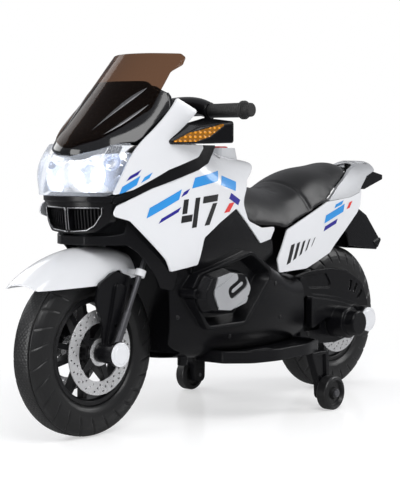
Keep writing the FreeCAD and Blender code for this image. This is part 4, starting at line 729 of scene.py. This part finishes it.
def seat_cushion():
    """Saddle pad: remeshed a little smaller than its solid, blown up as cloth, with a sewn crease."""
    mesh = nodes["seat"].data.copy()
    obj = bpy.data.objects.new("seat_cushion", mesh)
    scene.collection.objects.link(obj)
    mesh.materials.clear()
    mesh.materials.append(SEAT)
    remesh = obj.modifiers.new("voxels", "REMESH")
    remesh.mode = "VOXEL"
    remesh.voxel_size = PAD_VOXEL
    smooth = obj.modifiers.new("relax", "SMOOTH")
    smooth.iterations = 8
    smooth.factor = 0.5
    start = baked(obj)
    obj.modifiers.clear()
    obj.data = start
    co = points_of(start)
    nor = np.array([v.normal[:] for v in start.vertices])
    co -= nor * PAD_INSET
    start.vertices.foreach_set("co", co.reshape(-1))
    pins = obj.vertex_groups.new(name="pins")
    pins.add([int(i) for i in np.nonzero(nor[:, 2] < -0.35)[0]], 1.0, "REPLACE")
    cloth = obj.modifiers.new("pad", "CLOTH")
    cloth.settings.use_pressure = True
    cloth.settings.uniform_pressure_force = PAD_PRESSURE
    cloth.settings.effector_weights.gravity = 0.0
    cloth.settings.vertex_group_mass = "pins"
    cloth.point_cache.frame_start = 1
    cloth.point_cache.frame_end = PAD_FRAMES
    for frame_number in range(1, PAD_FRAMES + 1):
        scene.frame_set(frame_number)
    blown = points_of(baked(obj))
    obj.modifiers.clear()
    scene.frame_set(1)
    move = blown - co
    far = np.maximum(np.linalg.norm(move, axis=1), 1e-9)
    co = co + move * (np.minimum(far, PAD_SWELL) / far)[:, None]
    line = CREASE_X + (co[:, 2] - CREASE_Z) * CREASE_LEAN
    dip = CREASE_DEPTH * np.exp(-((co[:, 0] - line) / CREASE_WIDTH) ** 2) * (nor[:, 2] > -0.2)
    co -= nor * dip[:, None]
    start.vertices.foreach_set("co", co.reshape(-1))
    start.polygons.foreach_set("use_smooth", [True] * len(start.polygons))
    finer = obj.modifiers.new("finer", "SUBSURF")
    finer.levels = 1
    finer.render_levels = 1
    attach(obj, "chassis")
    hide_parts("seat")
    return obj


# Stage, light and camera

def studio():
    """World light from above, with plain white behind the bike."""
    world = bpy.data.worlds.new("studio")
    scene.world = world
    world.use_nodes = True
    tree = world.node_tree
    tree.nodes.clear()
    out = add(tree, "ShaderNodeOutputWorld")
    path = add(tree, "ShaderNodeLightPath")
    coord = add(tree, "ShaderNodeTexCoord")
    split = add(tree, "ShaderNodeSeparateXYZ")
    tree.links.new(coord.outputs["Generated"], split.inputs["Vector"])
    ramp = add(tree, "ShaderNodeValToRGB")
    ramp.color_ramp.elements[0].position = 0.42
    ramp.color_ramp.elements[0].color = (0.22, 0.225, 0.24, 1)
    ramp.color_ramp.elements[1].position = 0.75
    ramp.color_ramp.elements[1].color = (0.95, 0.96, 1.0, 1)
    tree.links.new(spans(tree, split.outputs["Z"], 0.5, 1.0), ramp.inputs["Fac"])
    soft = add(tree, "ShaderNodeBackground", Strength=0.38)
    tree.links.new(ramp.outputs["Color"], soft.inputs["Color"])
    plain = add(tree, "ShaderNodeBackground", Strength=1.0)
    plain.inputs["Color"].default_value = (1, 1, 1, 1)
    mixer = add(tree, "ShaderNodeMixShader")
    tree.links.new(path.outputs["Is Camera Ray"], mixer.inputs["Fac"])
    tree.links.new(soft.outputs["Background"], mixer.inputs[1])
    tree.links.new(plain.outputs["Background"], mixer.inputs[2])
    tree.links.new(mixer.outputs["Shader"], out.inputs["Surface"])


def area(name, where, size, power, aim=(0.0, 0.0, 0.3)):
    """Soft box of a size in metres and a power in watts, turned to its aim."""
    data = bpy.data.lights.new(name, "AREA")
    data.shape = "RECTANGLE"
    data.size, data.size_y = size
    data.energy = power
    obj = bpy.data.objects.new(name, data)
    obj.location = where
    obj.rotation_mode = "QUATERNION"
    obj.rotation_quaternion = (Vector(aim) - Vector(where)).to_track_quat("-Z", "Y")
    scene.collection.objects.link(obj)
    return obj


def floor():
    """White ground with shadow and a faint reflection under the bike, plain white away from it."""
    m, tree, bsdf = shader("studio_floor")
    coord = add(tree, "ShaderNodeTexCoord").outputs["Object"]
    speck = add(tree, "ShaderNodeTexNoise", Scale=30.0, Detail=3.0)
    tree.links.new(coord, speck.inputs["Vector"])
    tree.links.new(spans(tree, speck.outputs["Fac"], 0.13, 0.2), bsdf.inputs["Roughness"])
    bsdf.inputs["Emission Color"].default_value = (1, 1, 1, 1)
    path = add(tree, "ShaderNodeLightPath")
    tree.links.new(spans(tree, path.outputs["Is Glossy Ray"], 0.5, 0.06), bsdf.inputs["Emission Strength"])
    tree.links.new(spans(tree, path.outputs["Is Glossy Ray"], 0.86, 0.26), bsdf.inputs["Base Color"])
    away = add(tree, "ShaderNodeVectorMath", operation="LENGTH")
    tree.links.new(coord, away.inputs[0])
    fade = blend(tree, away.outputs["Value"], FADE_NEAR, FADE_FAR, 0.0, 1.0)
    plain = add(tree, "ShaderNodeEmission", Strength=1.0)
    seen = add(tree, "ShaderNodeMath", operation="MULTIPLY")
    tree.links.new(fade, seen.inputs[0])
    tree.links.new(path.outputs["Is Camera Ray"], seen.inputs[1])
    mixer = add(tree, "ShaderNodeMixShader")
    tree.links.new(seen.outputs["Value"], mixer.inputs["Fac"])
    tree.links.new(bsdf.outputs["BSDF"], mixer.inputs[1])
    tree.links.new(plain.outputs["Emission"], mixer.inputs[2])
    tree.links.new(mixer.outputs["Shader"], tree.nodes["Material Output"].inputs["Surface"])
    mesh = bpy.data.meshes.new("studio_floor")
    reach = FLOOR_REACH
    corners = [(-reach, -reach, 0), (reach, -reach, 0), (reach, reach, 0), (-reach, reach, 0)]
    mesh.from_pydata(corners, [], [(0, 1, 2, 3)])
    mesh.materials.append(m)
    obj = bpy.data.objects.new("studio_floor", mesh)
    obj.location.z = -0.0004
    scene.collection.objects.link(obj)


def camera():
    """Camera that was fitted to the photo."""
    data = bpy.data.cameras.new("camera")
    data.sensor_width = 36.0
    data.lens = CAMERA_LENS
    obj = bpy.data.objects.new("camera", data)
    obj.location = CAMERA_AT
    obj.rotation_mode = "QUATERNION"
    obj.rotation_quaternion = (Vector(CAMERA_AIM) - obj.location).to_track_quat("-Z", "Y")
    scene.collection.objects.link(obj)
    scene.camera = obj


scene.view_settings.view_transform = "Standard"
graphics()
digits()
screws()
engine_bars()
badge()
nose_painted_highlight_spears()
painted_glow_bowl_floors()
grille_highlight_bead()
tyre("front_tread", FX, "front_tyre", "front_wheel")
tyre("rear_tread", RX, "rear_tyre", "rear_wheel")
seat_cushion()
studio()
area("key", (1.0, 1.5, 2.2), (1.5, 1.5), 34)
area("front_fill", (2.4, -0.7, 0.75), (0.9, 1.3), 19)
area("rear_rim", (-1.7, 1.2, 1.3), (0.5, 1.6), 14)
area("far_side", (0.2, -2.2, 1.5), (1.8, 1.4), 16)
floor()
camera()
